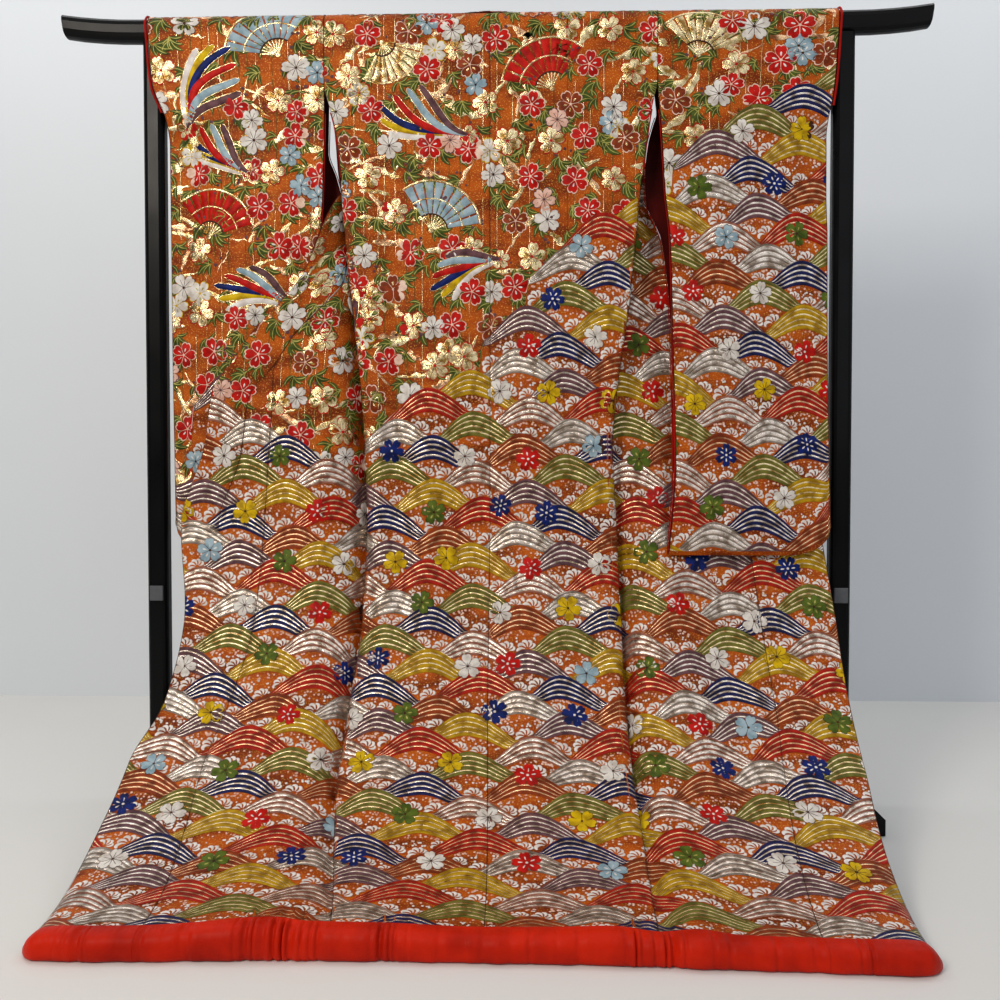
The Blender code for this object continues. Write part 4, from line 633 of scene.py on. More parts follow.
@dataclass(frozen=True)
class Drape:
    """The sizes and curves on which the garment hangs over the rod and sweeps over the floor."""

    layout_y: float = 0.2521
    garment_x: float = -0.004
    rod_z: float = 1.497
    over_rod_depth: float = 0.026
    over_rod_rise: float = 0.0245
    shoulder_s: float = 0.023
    rod_quarter: float = 0.040
    bend_s: float = 0.895
    bend_radius: float = 0.590
    bend_z: float = 0.625
    hem_s: float = 1.820
    hem_settle_s: float = 1.560
    hem_swing_s: float = 1.350
    centre_drift: float = 0.015
    centre_drift_s: float = 1.200
    shoulder_width: float = 0.316
    vent_end_s: float = 0.350
    vent_blend: float = 0.050
    collar_width: float = 0.068
    collar_end_s: float = 0.978
    collar_slant_max: float = 1.22
    collar_gap_twist: float = 5.0
    slant_reach: float = 0.030
    okumi_top_s: float = 0.665
    seam_gap: float = 0.0003
    plain_crest: float = 0.038
    wave_depth: float = 0.0035
    wave_pitch: float = 0.235
    left: Table = Table(DOOR_COLUMNS, LEFT_DOOR)
    right: Table = Table(DOOR_COLUMNS, RIGHT_DOOR)
    hem: Table = Table(HEM_COLUMNS, HEM_ROLL)

    def door(self, side: int, s: Array) -> dict[str, Array]:
        """Read one side's table at lengths s."""
        return (self.left if side < 0 else self.right).read(s)

    def cloth_point(self, x: Array, s: Array, h: Array) -> Array:
        """Find world points of the cloth.

        Args:
            x: Distance from the centre, signed.
            s: Length down from the shoulder.
            h: Depth behind the smooth curve.

        Returns:
            Points, one for each place.
        """
        x, s, h = np.broadcast_arrays(np.asarray(x, float), s, h)
        strength = ease(0.25, 0.80, s) * (1.0 - ease(1.35, 1.78, s))
        wave = self.wave_depth * strength * np.sin(2.0 * math.pi * (x / self.wave_pitch + 0.12 + 0.18 * s))
        hem = self.hem.read(x)
        lift = (hem["crest"] - self.plain_crest) * ease(self.hem_settle_s, self.hem_s, s)
        h = h + wave - lift
        angle = np.maximum(0.0, s - self.bend_s) / self.bend_radius
        y = -self.over_rod_depth - self.bend_radius * (1.0 - np.cos(angle))
        y = y - hem["swing"] * ease(self.hem_swing_s, self.hem_s, s)
        z = self.bend_z - self.bend_radius * np.sin(angle) + np.maximum(0.0, self.bend_s - s)
        return np.stack([x + self.garment_x, y + h * np.cos(angle) + self.layout_y, z - h * np.sin(angle)],
                        -1)

    def rod_point(self, x: Array, rho: Array) -> Array:
        """Find world points of cloth over the rod, rho forward of its ridge."""
        x, rho = np.broadcast_arrays(np.asarray(x, float), np.asarray(rho, float))
        turn = np.clip(rho / self.rod_quarter, -1.0, 1.0) * math.pi / 2.0
        over = np.stack([x + self.garment_x, self.over_rod_depth * np.sin(turn) + self.layout_y,
                         self.rod_z + self.over_rod_rise * np.cos(turn)], -1)
        s = np.maximum(self.shoulder_s, np.abs(rho) - self.rod_quarter + self.shoulder_s)
        down = self.cloth_point(x, s, np.where(rho > 0.0, 2.0 * self.over_rod_depth, 0.0))
        return np.where((np.abs(rho) < self.rod_quarter)[..., None], over, down)

    def back_curves(self, side: int, s: Array) -> tuple[Array, Array]:
        """Sections of one back panel from the centre seam to its side edge, at lengths s."""
        row = self.door(side, s)
        width, zero = row["seam_x"], np.zeros_like(s)
        centre = side * self.centre_drift * ease(self.centre_drift_s, self.hem_s, s)
        sewn = ease(self.vent_end_s - self.vent_blend, self.vent_end_s, s)
        beyond_x = (width + 0.030) * (1.0 - sewn) + row["fold_x"] * sewn
        beyond_h = row["seam_h"] * (1.0 - sewn) + row["fold_h"] * sewn
        xs = np.stack([centre - 0.1, centre, 0.5 * width, width - 0.050, width - 0.020, width, beyond_x], -1)
        hs = np.stack([zero, zero, zero, zero, zero, row["seam_h"], beyond_h], -1)
        return dense_curves(np.stack([xs, hs], -1))

    def front_curves(self, side: int, s: Array) -> tuple[Array, Array]:
        """Sections of one front, its okumi and collar, from the side edge to the free edge."""
        row = self.door(side, s)
        start, fold, back, rise, outer = (np.stack([row[k + "_x"], row[k + "_h"]], -1)
                                          for k in ("front", "fold", "back", "rise", "outer"))
        sewn = ease(self.vent_end_s - self.vent_blend, self.vent_end_s, s)[:, None]
        sewn_before = np.stack([row["seam_x"] - 0.020, np.zeros_like(s)], -1)
        before = (2.0 * start - fold) * (1.0 - sewn) + sewn_before * sewn
        middle = (rise + outer) / 2.0
        return dense_curves(np.stack([before, start, fold, back, rise, middle, outer, 2.0 * outer - middle],
                                     1))

    def collar_seam(self, side: int, s: Array, lengths: Array) -> Array:
        """Distances along the fronts' sections at which the collar is sewn on."""
        low = np.maximum(self.shoulder_s, s - self.slant_reach)
        high = np.minimum(self.collar_end_s, s + self.slant_reach)
        ends = [self.door(side, t)["outer_x"] for t in (low, high)]
        slant = np.hypot(1.0, (ends[1] - ends[0]) / np.maximum(1e-6, high - low))
        return lengths[:, -1] - self.collar_width * np.minimum(self.collar_slant_max, slant)

    def collar_gap(self, s: Array) -> Array:
        """Gap at the collar's seam, wider where the turning front twists it."""
        return self.seam_gap * (1.0 + self.collar_gap_twist * ease(0.10, 0.18, s)
                                * (1.0 - ease(0.52, 0.66, s)))

    def front_edge(self, side: int, s: Array, line: Array, lengths: Array) -> Array:
        """Distances along the fronts' sections at which the front panel ends."""
        collar = np.where(s <= self.collar_end_s, self.collar_seam(side, s, lengths), lengths[:, -1])
        target = self.door(side, s)["okumi_x"]
        seam = np.array([np.interp(t, np.maximum.accumulate(p[len(p) // 2:, 0]), l[len(p) // 2:])
                         for t, p, l in zip(target, line, lengths)])
        return np.where(s < self.okumi_top_s, collar, np.minimum(seam, collar - 0.004))


# ---- cloth as grids ------------------------------------------------------------------------------
def unit(vectors: Array) -> Array:
    """Scale vectors to length 1."""
    return vectors / np.maximum(1e-12, np.linalg.norm(vectors, axis=-1, keepdims=True))


def stops_across(width: float, step: float = 0.0075) -> Array:
    """Shares across a panel: even steps, closer together beside the seams.

    Args:
        width: The panel's usual width.
        step: Distance between even steps.

    Returns:
        Shares from 0 to 1.
    """
    near = np.array([0.0, 1.2, 2.6, 4.5]) * MM / width
    even = np.linspace(8.0 * MM / width, 1.0 - 8.0 * MM / width, max(3, round(width / step)))
    return np.concatenate([near, even, 1.0 - near[::-1]])


def crease_depth(table: Iterable[Sequence[float]], u: Array, v: Array) -> Array:
    """Depth of all the soft creases of a table at places on the cloth.

    Args:
        table: Rows under CREASE_COLUMNS.
        u: Places across the cloth.
        v: Places down the cloth.

    Returns:
        How far the cloth stands out (plus) or in (minus) there.
    """
    total = np.zeros(np.broadcast(u, v).shape)
    for values in table:
        row = dict(zip(CREASE_COLUMNS, values))
        t = np.clip((v - row["start_v"]) / (row["end_v"] - row["start_v"]), 0.0, 1.0)
        middle = row["u"] + row["lean"] * t + 0.006 * np.sin(5.1 * math.pi * t + 40.0 * row["u"])
        along_it = np.sin(math.pi * t) ** 1.3
        total = total + row["depth"] * along_it * np.exp(-((u - middle) / row["width"]) ** 2)
    return total


def seam_pucker(distance: Array, v: Array, phase: float) -> Array:
    """Depth of the dip and the small puckers beside a seam.

    Args:
        distance: Distance from the seam.
        v: Places down the cloth.
        phase: Where the puckers start.

    Returns:
        Depth there; minus is inwards.
    """
    dip = -1.1 * MM * np.exp(-(distance / 0.0026) ** 2)
    ripple = np.sin(2.0 * math.pi * (v / 0.034 + phase)) * (0.6 + 0.4 * np.sin(2.0 * math.pi * v / 0.21
                                                                               + phase))
    return dip + 0.45 * MM * ripple * np.exp(-(distance / 0.012) ** 2)


@dataclass
class ClothGrid:
    """A grid of points on a piece of cloth, with the way that it faces and its places (u, v)."""

    points: Array
    u: Array
    v: Array
    outward: float
    stops: Array
    normals: Array = field(init=False)
    across: Array = field(init=False)
    down: Array = field(init=False)

    def __post_init__(self) -> None:
        """Work out the way that the cloth faces."""
        self.refresh()

    def refresh(self) -> None:
        """Work out normals and the directions of u and v from the points."""
        by_row = np.gradient(self.points, axis=0)
        by_column = np.gradient(self.points, axis=1)
        self.normals = unit(np.cross(by_row, by_column)) * self.outward
        sign_u = np.sign(self.u[:, -1:] - self.u[:, :1])[..., None]
        sign_v = np.sign(np.gradient(self.v, axis=0))[..., None]
        self.across = unit(by_column) * sign_u
        self.down = unit(by_row) * sign_v

    def push(self, depth: Array) -> None:
        """Move every point along its normal."""
        self.points = self.points + self.normals * depth[..., None]
        self.refresh()

    def part(self, rows: slice) -> "ClothGrid":
        """Take some rows of the grid, with v rising."""
        points, u, v = self.points[rows], self.u[rows], self.v[rows]
        flip = v[0, 0] > v[-1, 0]
        step = slice(None, None, -1) if flip else slice(None)
        return ClothGrid(points[step], u[step], v[step], -self.outward if flip else self.outward, self.stops)

    def place(self, u: Array, v: Array, lift: Array, tilt_u: Array,
              tilt_v: Array) -> tuple[Array, Array, Array]:
        """Lay flat places on the cloth.

        Args:
            u: Places across.
            v: Places down.
            lift: How far out of the cloth.
            tilt_u: How far the surface there turns to +u.
            tilt_v: How far the surface there turns to +v.

        Returns:
            Points, normals, and -1, 0 or 1 for places beyond the first edge, on the cloth, or beyond
            the last edge.
        """
        rows_v = self.v[:, 0]
        row = np.interp(v, rows_v, np.arange(len(rows_v)))
        i = np.clip(row.astype(int), 0, len(rows_v) - 2)
        f = row - i
        first = self.u[i, 0] * (1 - f) + self.u[i + 1, 0] * f
        last = self.u[i, -1] * (1 - f) + self.u[i + 1, -1] * f
        share = (u - first) / (last - first)
        beyond = np.where(share < 0.0, -1, 0) + np.where(share > 1.0, 1, 0)
        beyond = np.where(v < rows_v[0], 2, np.where(v > rows_v[-1], 3, beyond))
        column = np.interp(share, self.stops, np.arange(len(self.stops)))
        j = np.clip(column.astype(int), 0, len(self.stops) - 2)
        g = column - j
        f, g = f[:, None], g[:, None]

        def read(grid: Array) -> Array:
            top = grid[i, j] * (1 - g) + grid[i, j + 1] * g
            low = grid[i + 1, j] * (1 - g) + grid[i + 1, j + 1] * g
            return top * (1 - f) + low * f

        normal = unit(read(self.normals))
        shown = unit(normal + read(self.across) * tilt_u[:, None] + read(self.down) * tilt_v[:, None])
        return read(self.points) + normal * lift[:, None], shown, beyond


def mesh_object(name: str, points: Array, faces: Sequence, materials: Sequence[bpy.types.Material],
                slots: Optional[Array] = None, uvs: Optional[Array] = None,
                normals: Optional[Array] = None, sharp: float = 50.0) -> bpy.types.Object:
    """Make an object from plain arrays.

    Args:
        name: The object's name.
        points: Vertices.
        faces: Vertex numbers of each face.
        materials: The materials, in the order of their slots.
        slots: The slot of each face.
        uvs: (u, v) of each vertex.
        normals: The way that each vertex faces, where it isn't to be worked out.
        sharp: Corners sharper than this many degrees are kept.

    Returns:
        The object, in the scene.
    """
    mesh = bpy.data.meshes.new(name)
    mesh.from_pydata(np.asarray(points).tolist(), [],
                     np.asarray(faces).tolist() if isinstance(faces, Array) else faces)
    for material in materials:
        mesh.materials.append(material)
    if slots is not None:
        mesh.polygons.foreach_set("material_index", np.asarray(slots, np.int32))
    if uvs is not None:
        layer = mesh.uv_layers.new(name="cloth")
        corner = np.empty(len(mesh.loops), np.int32)
        mesh.loops.foreach_get("vertex_index", corner)
        layer.data.foreach_set("uv", np.asarray(uvs, np.float32)[corner].ravel())
    mesh.shade_smooth()
    if normals is None:
        mesh.set_sharp_from_angle(angle=math.radians(sharp))
    mesh.update()
    if normals is not None:
        mesh.normals_split_custom_set_from_vertices(np.asarray(normals, np.float32).tolist())
    obj = bpy.data.objects.new(name, mesh)
    bpy.context.scene.collection.objects.link(obj)
    return obj


def grid_faces(rows: int, columns: int, start: int = 0, flip: bool = False) -> Array:
    """Faces of a grid of vertices numbered row by row.

    Args:
        rows: Number of rows.
        columns: Number of columns.
        start: Number of the first vertex.
        flip: Whether the faces look the other way.

    Returns:
        Four vertex numbers for each face.
    """
    i, j = np.meshgrid(np.arange(rows - 1), np.arange(columns - 1), indexing="ij")
    a = (i * columns + j).ravel() + start
    corners = [a, a + columns, a + columns + 1, a + 1]
    return np.stack(corners[::-1] if flip else corners, -1)


def shell(name: str, grid: ClothGrid, outer: float, inner: float, brocade: bpy.types.Material,
          lining: bpy.types.Material) -> bpy.types.Object:
    """Make a thin closed shell of brocade and lining over a grid.

    Args:
        name: The piece's name.
        grid: The cloth.
        outer: How far the brocade lies outside the grid.
        inner: How far the lining lies inside it.
        brocade: Material of the outer side.
        lining: Material of the inner side and the rim.

    Returns:
        The piece.
    """
    rows, columns = grid.u.shape
    count = rows * columns
    points = np.concatenate([(grid.points + grid.normals * outer).reshape(-1, 3),
                             (grid.points - grid.normals * inner).reshape(-1, 3)])
    flip = grid.outward < 0
    faces = [grid_faces(rows, columns, 0, flip), grid_faces(rows, columns, count, not flip)]
    ring = [k for k in range(columns)] + [k * columns + columns - 1 for k in range(1, rows)]
    ring += [(rows - 1) * columns + k for k in range(columns - 2, -1, -1)]
    ring += [k * columns for k in range(rows - 2, 0, -1)]
    first = np.array(ring)
    after = np.roll(first, -1)
    rim = np.stack([first, after, after + count, first + count], -1)
    faces.append(rim[:, ::-1] if flip else rim)
    slots = np.concatenate([np.full(len(f), k) for k, f in zip((0, 1, 1), faces)])
    uvs = np.tile(np.stack([grid.u.ravel(), -grid.v.ravel()], -1), (2, 1))
    return mesh_object(name, points, np.concatenate(faces), (brocade, lining), slots, uvs)


# ---- woven figures -------------------------------------------------------------------------------
@dataclass
class Shapes:
    """Flat figures of thread, as triangles at places (u, v) on the cloth."""

    points: list[Array] = field(default_factory=list)
    faces: list[Array] = field(default_factory=list)
    tilts: list[Array] = field(default_factory=list)
    lifts: list[Array] = field(default_factory=list)
    flosses: list[Array] = field(default_factory=list)
    count: int = 0

    def add(self, points: Array, faces: Array, floss: Floss, lift: float,
            tilt: Optional[Array] = None) -> None:
        """Add a figure.

        Args:
            points: Its places, (n, 2).
            faces: Its triangles.
            floss: Its thread.
            lift: How far its thread stands out of the cloth.
            tilt: How far its surface turns to +u and +v at each place, (n, 2).
        """
        self.points.append(np.asarray(points, float))
        self.faces.append(np.asarray(faces, int) + self.count)
        self.tilts.append(np.zeros((len(points), 2)) if tilt is None else tilt)
        self.lifts.append(np.full(len(points), lift))
        self.flosses.append(np.full(len(faces), FLOSS_NUMBER[floss]))
        self.count += len(points)

    def strip(self, first: Array, second: Array, floss: Floss, lift: float, round_by: float = 0.45) -> None:
        """Add a strip between two lines of places, rounded across like a cord of threads."""
        n = len(first)
        if n < 2:
            return
        k = np.arange(n - 1)
        a, b = k, k + n
        faces = np.concatenate([np.stack([a, b, b + 1], -1), np.stack([a, b + 1, a + 1], -1)])
        apart = np.asarray(first) - np.asarray(second)
        width = np.linalg.norm(apart, axis=1, keepdims=True)
        keep = width[:, 0] > 0.2 * MM
        faces = faces[keep[faces % n].any(axis=1)]
        tilt = apart / np.maximum(width, 1e-6) * round_by
        if len(faces):
            self.add(np.concatenate([first, second]), faces, floss, lift, np.concatenate([tilt, -tilt]))

    def star(self, centre: Array, rim: Array, floss: Floss, lift: float, round_by: float = 0.30) -> None:
        """Add a figure that is filled from a centre out to its rim."""
        n = len(rim)
        k = np.arange(n)
        faces = np.stack([np.zeros(n, int), k + 1, (k + 1) % n + 1], -1)
        out = rim - centre
        tilt = unit(np.concatenate([out, np.zeros((n, 1))], 1))[:, :2] * round_by
        self.add(np.vstack([centre, rim]), faces, floss, lift, np.vstack([np.zeros((1, 2)), tilt]))

    def dot(self, centre: Array, radius: float, floss: Floss, lift: float, sides: int = 8) -> None:
        """Add a round dot."""
        turn = np.linspace(0.0, 2.0 * math.pi, sides, endpoint=False)
        self.star(centre, centre + radius * np.stack([np.cos(turn), np.sin(turn)], -1), floss, lift)

    def ribbon(self, path: Array, width: Array, floss: Floss, lift: float, round_by: float = 0.35) -> None:
        """Add a ribbon along a path."""
        ahead = np.gradient(path, axis=0)
        ahead = ahead / np.maximum(1e-9, np.linalg.norm(ahead, axis=1, keepdims=True))
        aside = np.stack([-ahead[:, 1], ahead[:, 0]],
                         -1) * (np.broadcast_to(width, len(path)) / 2.0)[:, None]
        self.strip(path + aside, path - aside, floss, lift, round_by)

    def merge(self, other: "Shapes", keep_below: Optional["Cover"] = None,
              keep_above: Optional["Cover"] = None,
              margin: float = 0.0) -> None:
        """Add another set's figures, cut off at a line across the cloth.

        Args:
            other: The figures.
            keep_below: They end at this line and stay on its lower side.
            keep_above: They end at this line and stay on its upper side.
            margin: How far from the line they end.
        """
        if not other.count:
            return
        points, faces = np.concatenate(other.points), np.concatenate(other.faces)
        outside = np.zeros(len(points), bool)
        if keep_above is not None:
            line = keep_above.at(points[:, 0]) - margin
            outside |= points[:, 1] > line
            points[:, 1] = np.minimum(points[:, 1], line)
        if keep_below is not None:
            line = keep_below.at(points[:, 0]) + margin
            outside |= points[:, 1] < line
            points[:, 1] = np.maximum(points[:, 1], line)
        kept = ~outside[faces].all(axis=1)
        self.points.append(points)
        self.faces.append(faces[kept] + self.count)
        self.tilts.append(np.concatenate(other.tilts))
        self.lifts.append(np.concatenate(other.lifts))
        self.flosses.append(np.concatenate(other.flosses)[kept])
        self.count += len(points)

    def lay(self, name: str, grid: ClothGrid, proud: float,
            seam: float = 0.9 * MM) -> Optional[bpy.types.Object]:
        """Lay the figures on a piece of cloth and cut them off at its edges.

        Args:
            name: The new piece's name.
            grid: The cloth.
            proud: How far the cloth's face is from the middle of its wall.
            seam: Width of the strip of dark thread beside each edge, painted shadow of the seam's fold.

        Returns:
            The figures as one piece, or None where none is on this cloth.
        """
        sewn = Shapes(list(self.points), list(self.faces), list(self.tilts), list(self.lifts),
                      list(self.flosses),
                      self.count)
        # Strips of dark thread along both edges of the cloth: painted shadow in the fold of each seam.
        for edge, inwards in ((0, 1), (-1, -2)):
            side = np.sign(grid.u[:, inwards] - grid.u[:, edge])
            first = np.stack([grid.u[:, edge] + side * 0.05 * MM, grid.v[:, 0]], -1)
            second = np.stack([grid.u[:, edge] + side * seam, grid.v[:, 0]], -1)
            sewn.strip(first, second, Floss.DARK_LINE, 1.15 * MM, 0.0)
        points, faces = np.concatenate(sewn.points), np.concatenate(sewn.faces)
        tilts, lifts, flosses = (np.concatenate(part) for part in (sewn.tilts, sewn.lifts, sewn.flosses))
        low_u, high_u = grid.u.min() - 0.02, grid.u.max() + 0.02
        near = (points[:, 0] > low_u) & (points[:, 0] < high_u)
        near &= (points[:, 1] > grid.v.min() - 0.02) & (points[:, 1] < grid.v.max() + 0.02)
        used = near[faces].any(axis=1)
        faces, flosses = faces[used], flosses[used]
        if not len(faces):
            return None
        numbers, faces = np.unique(faces, return_inverse=True)
        faces = faces.reshape(-1, 3)
        points, tilts, lifts = points[numbers], tilts[numbers], lifts[numbers]
        placed, normals, beyond = grid.place(points[:, 0], points[:, 1], lifts + proud, tilts[:, 0],
                                             tilts[:, 1])
        off = (beyond != 0)[faces].all(axis=1)
        sides = [placed[faces[:, k]] for k in range(3)]
        across = np.cross(sides[1] - sides[0], sides[2] - sides[0])
        area = np.linalg.norm(across, axis=1)
        longest = np.max([np.linalg.norm(sides[k] - sides[k - 1], axis=1) for k in range(3)], axis=0)
        kept = ~off & (area > 2e-8) & (longest < 0.05)
        faces, flosses, across = faces[kept], flosses[kept], across[kept]
        facing = np.einsum("ij,ij->i", across, normals[faces[:, 0]])
        faces = np.where((facing < 0.0)[:, None], faces[:, ::-1], faces)
        numbers, faces = np.unique(faces, return_inverse=True)
        faces = faces.reshape(-1, 3)
        shown = sorted(set(flosses.tolist()))
        slots = np.searchsorted(shown, flosses)
        materials = [FLOSS_FINISH.build(list(Floss)[k]) for k in shown]
        uvs = points[numbers] * (1.0, -1.0)
        return mesh_object(name, placed[numbers], faces, materials, slots, uvs, normals[numbers])


FLOSS_NUMBER = {floss: number for number, floss in enumerate(Floss)}


@dataclass
class FlossBox:
    """Every thread's material, made once."""

    made: dict[Floss, bpy.types.Material] = field(default_factory=dict)

    def build(self, floss: Floss) -> bpy.types.Material:
        """The material of a thread."""
        if floss not in self.made:
            self.made[floss] = floss.value.build()
        return self.made[floss]


FLOSS_FINISH = FlossBox()


@dataclass
class Cover:
    """A line across the cloth: for each u, the v from which something in front hides the cloth."""

    start: float
    step: float
    line: Array

    @classmethod
    def over(cls, start: float, end: float, step: float, value: float) -> "Cover":
        """A level line."""
        return cls(start, step, np.full(int(round((end - start) / step)) + 1, value))

    def columns(self) -> Array:
        """Every u at which the line is known."""
        return self.start + self.step * np.arange(len(self.line))

    def at(self, u: Array) -> Array:
        """The line's v at any u."""
        return np.interp(u, self.columns(), self.line)


@dataclass(frozen=True)
class Hill:
    """One wave: where it starts, how wide and high it is, and its threads."""

    start_u: float
    foot_v: float
    width: float
    rise: float
    crest: float
    threads: str
    drop_share: float = 0.42
    band: float = 0.0465

    def bell(self, u: Array) -> Array:
        """From 0 at the wave's feet to 1 at its crest, full on the left and sweeping on the right."""
        t = np.clip((u - self.start_u) / self.width, 0.0, 1.0)
        up = np.clip(t / self.crest, 0.0, 1.0)
        down = np.clip((1.0 - t) / (1.0 - self.crest), 0.0, 1.0)
        left = 0.45 * ease(0.0, 1.0, up) + 0.55 * np.sin(0.5 * math.pi * up)
        right = 0.75 * ease(0.0, 1.0, down) + 0.25 * np.sin(0.5 * math.pi * down)
        return np.where(t < self.crest, left, right)

    def top(self, u: Array) -> Array:
        """The wave's upper edge; its right foot lies lower than its left foot."""
        t = np.clip((u - self.start_u) / self.width, 0.0, 1.0)
        drop = self.rise * self.drop_share * np.clip((t - self.crest) / (1.0 - self.crest), 0.0, 1.0) ** 1.4
        return self.foot_v + drop - self.rise * self.bell(u)

    def depth(self, u: Array) -> Array:
        """Height of the wave's band of ribbons."""
        return self.band * (0.13 + 0.87 * self.bell(u) ** 0.80)


@dataclass
class WaveField:
    """Rows of waves, each with its ribbons, foam and drops, the lower ones in front.

    A pocket is the bare ground between a wave's band and the waves in front of it: claws of foam need
    claw_room of height in it and drops need drop_room, and a lower pocket than pocket_least stays bare.
    """

    table: tuple[tuple[float, float], ...]
    start_u: float
    end_u: float
    end_v: float
    shift_u: float = 0.0
    step: float = 0.0062
    pairs: int = 4
    seed: int = 11
    pocket_least: float = 0.009
    claw_room: float = 0.007
    claw_most: float = 0.0200
    claw_least: float = 0.0036
    drop_room: float = 0.0060
    drop_count: int = 44
    shapes: Shapes = field(default_factory=Shapes)
    border: Cover = field(init=False)

    def __post_init__(self) -> None:
        """Draw every wave, from the lowest row up."""
        self.border = Cover.over(self.start_u, self.end_u, self.step, self.end_v + 0.10)
        rng = np.random.default_rng(self.seed)
        top = np.array(self.table)
        rows = int(self.end_v / WAVE_PITCH_V) + 2
        for row in range(rows, 0, -1):
            for hill in self.row_of_hills(row):
                peak = hill.start_u + hill.width * hill.crest
                if hill.foot_v - hill.rise > np.interp(peak, top[:, 0], top[:, 1]):
                    self.draw(hill, rng)

    def row_of_hills(self, row: int) -> list[Hill]:
        """The waves of one row, from left to right."""
        hills = []
        first = int(math.floor(self.start_u / WAVE_PITCH_U)) - 1
        for column in range(first, int(self.end_u / WAVE_PITCH_U) + 2):
            values = dict(zip(WAVE_COLUMNS, WAVE_REPEAT[(row % 8) * 2 + column % 2]))
            u = (column + 0.5 * (row % 2)) * WAVE_PITCH_U + values["shift_u"] + self.shift_u
            hills.append(Hill(u - 0.5 * values["width"], row * WAVE_PITCH_V + values["shift_v"] + 0.012,
                              values["width"], values["rise"], values["crest"], values["threads"]))
        return hills

    def draw(self, hill: Hill, rng: np.random.Generator) -> None:
        """Draw one wave as far as it shows, and let it hide what is behind it."""
        all_u = self.border.columns()
        inside = np.flatnonzero((all_u > hill.start_u) & (all_u < hill.start_u + hill.width))
        if len(inside) < 4:
            return
        u, limit = all_u[inside], self.border.line[inside].copy()
        top, depth = hill.top(u), hill.depth(u)
        silk, foil, share = WAVE_THREADS[hill.threads]
        pitch = 1.0 / (self.pairs + share)
        for pair in range(self.pairs + 1):
            for start, end, floss, lift in ((pair, pair + share, silk, 0.55),
                                            (pair + share, pair + 1.0, foil, 0.62)):
                if pair == self.pairs and floss is foil:
                    continue
                upper = np.minimum(top + depth * start * pitch, limit)
                lower = np.minimum(top + depth * end * pitch, limit)
                self.shapes.strip(np.stack([u, upper], -1), np.stack([u, lower], -1), floss, lift * MM)
        self.foam(u, top + depth, limit, rng)
        self.border.line[inside] = np.minimum(limit, top)

    def foam(self, u: Array, inner: Array, limit: Array, rng: np.random.Generator) -> None:
        """Draw the foam and the drops between a wave's band and the waves in front of it."""
        room = limit - inner
        if room.max() < self.pocket_least:
            return
        local, claws = Shapes(), []
        ceiling = Cover(u[0], self.step, inner)
        floor = Cover(u[0], self.step, limit)
        open_part = np.flatnonzero(room > self.claw_room)
        low, high = u[open_part[0]], u[open_part[-1]]
        at_u = low + 0.002
        while at_u < high:
            height = float(np.interp(at_u + 0.010, u, room))
            size = min(self.claw_most, 0.78 * max(0.0, height)) * rng.uniform(0.86, 1.06)
            centre_u = at_u + 0.80 * size
            at_u = centre_u + 1.05 * max(size, 0.005)
            height = float(np.interp(centre_u, u, room))
            if size > self.claw_least and height > 0.9 * size:
                centre = np.array([centre_u, float(ceiling.at(centre_u)) + height - 0.06 * size])
                self.claw(local, centre, size, rng.uniform(-0.25, 0.25))
                claws.append((centre, size))
        self.shapes.merge(local, keep_below=ceiling, keep_above=floor, margin=0.0012)
        for place in rng.uniform(0.0, 1.0, (self.drop_count, 2)):
            dot_u = low + (high - low) * place[0]
            height = float(np.interp(dot_u, u, room))
            radius = rng.uniform(0.0014, 0.0024)
            near = 0.0028 + place[1] ** 1.3 * max(0.0, height - self.drop_room)
            at = np.array([dot_u, float(ceiling.at(dot_u)) + near])
            clear = all(np.linalg.norm(at - centre) > size * 0.94 + radius for centre, size in claws)
            if height > self.drop_room and clear:
                self.shapes.dot(at, radius, Floss.FOAM if place[1] > 0.4 else Floss.PINK_DOT, 0.78 * MM, 7)

    def claw(self, shapes: Shapes, centre: Array, size: float, turn: float) -> None:
        """Draw one claw of foam: a fan of fingers that all curl to the left."""
        count = 6 if size > 0.013 else 5 if size > 0.007 else 4
        t = np.linspace(0.0, 1.0, 9)
        for k in range(count):
            start = math.radians(-196.0 + 200.0 * k / (count - 1)) + turn
            reach = size * (1.0 - 0.26 * k / (count - 1))
            angle = start + 0.35 - 2.6 * t ** 2.2
            steps = np.stack([np.cos(angle), np.sin(angle)], -1) * (reach * 0.13)
            first = centre + 0.10 * reach * np.array([math.cos(start), math.sin(start)])
            path = first + np.cumsum(steps, axis=0)
            width = reach * (0.05 + 0.27 * np.sin(math.pi * t ** 1.3 * 0.92) ** 1.1) * (6.0 / count) ** 0.6
            shapes.ribbon(path, width, Floss.FOAM, 0.68 * MM, 0.30)


@dataclass(frozen=True)
class BlossomStyle:
    """A blossom's threads and the number of its petals."""

    petal: Floss
    outline: Floss
    drops: Floss
    petals: int = 5


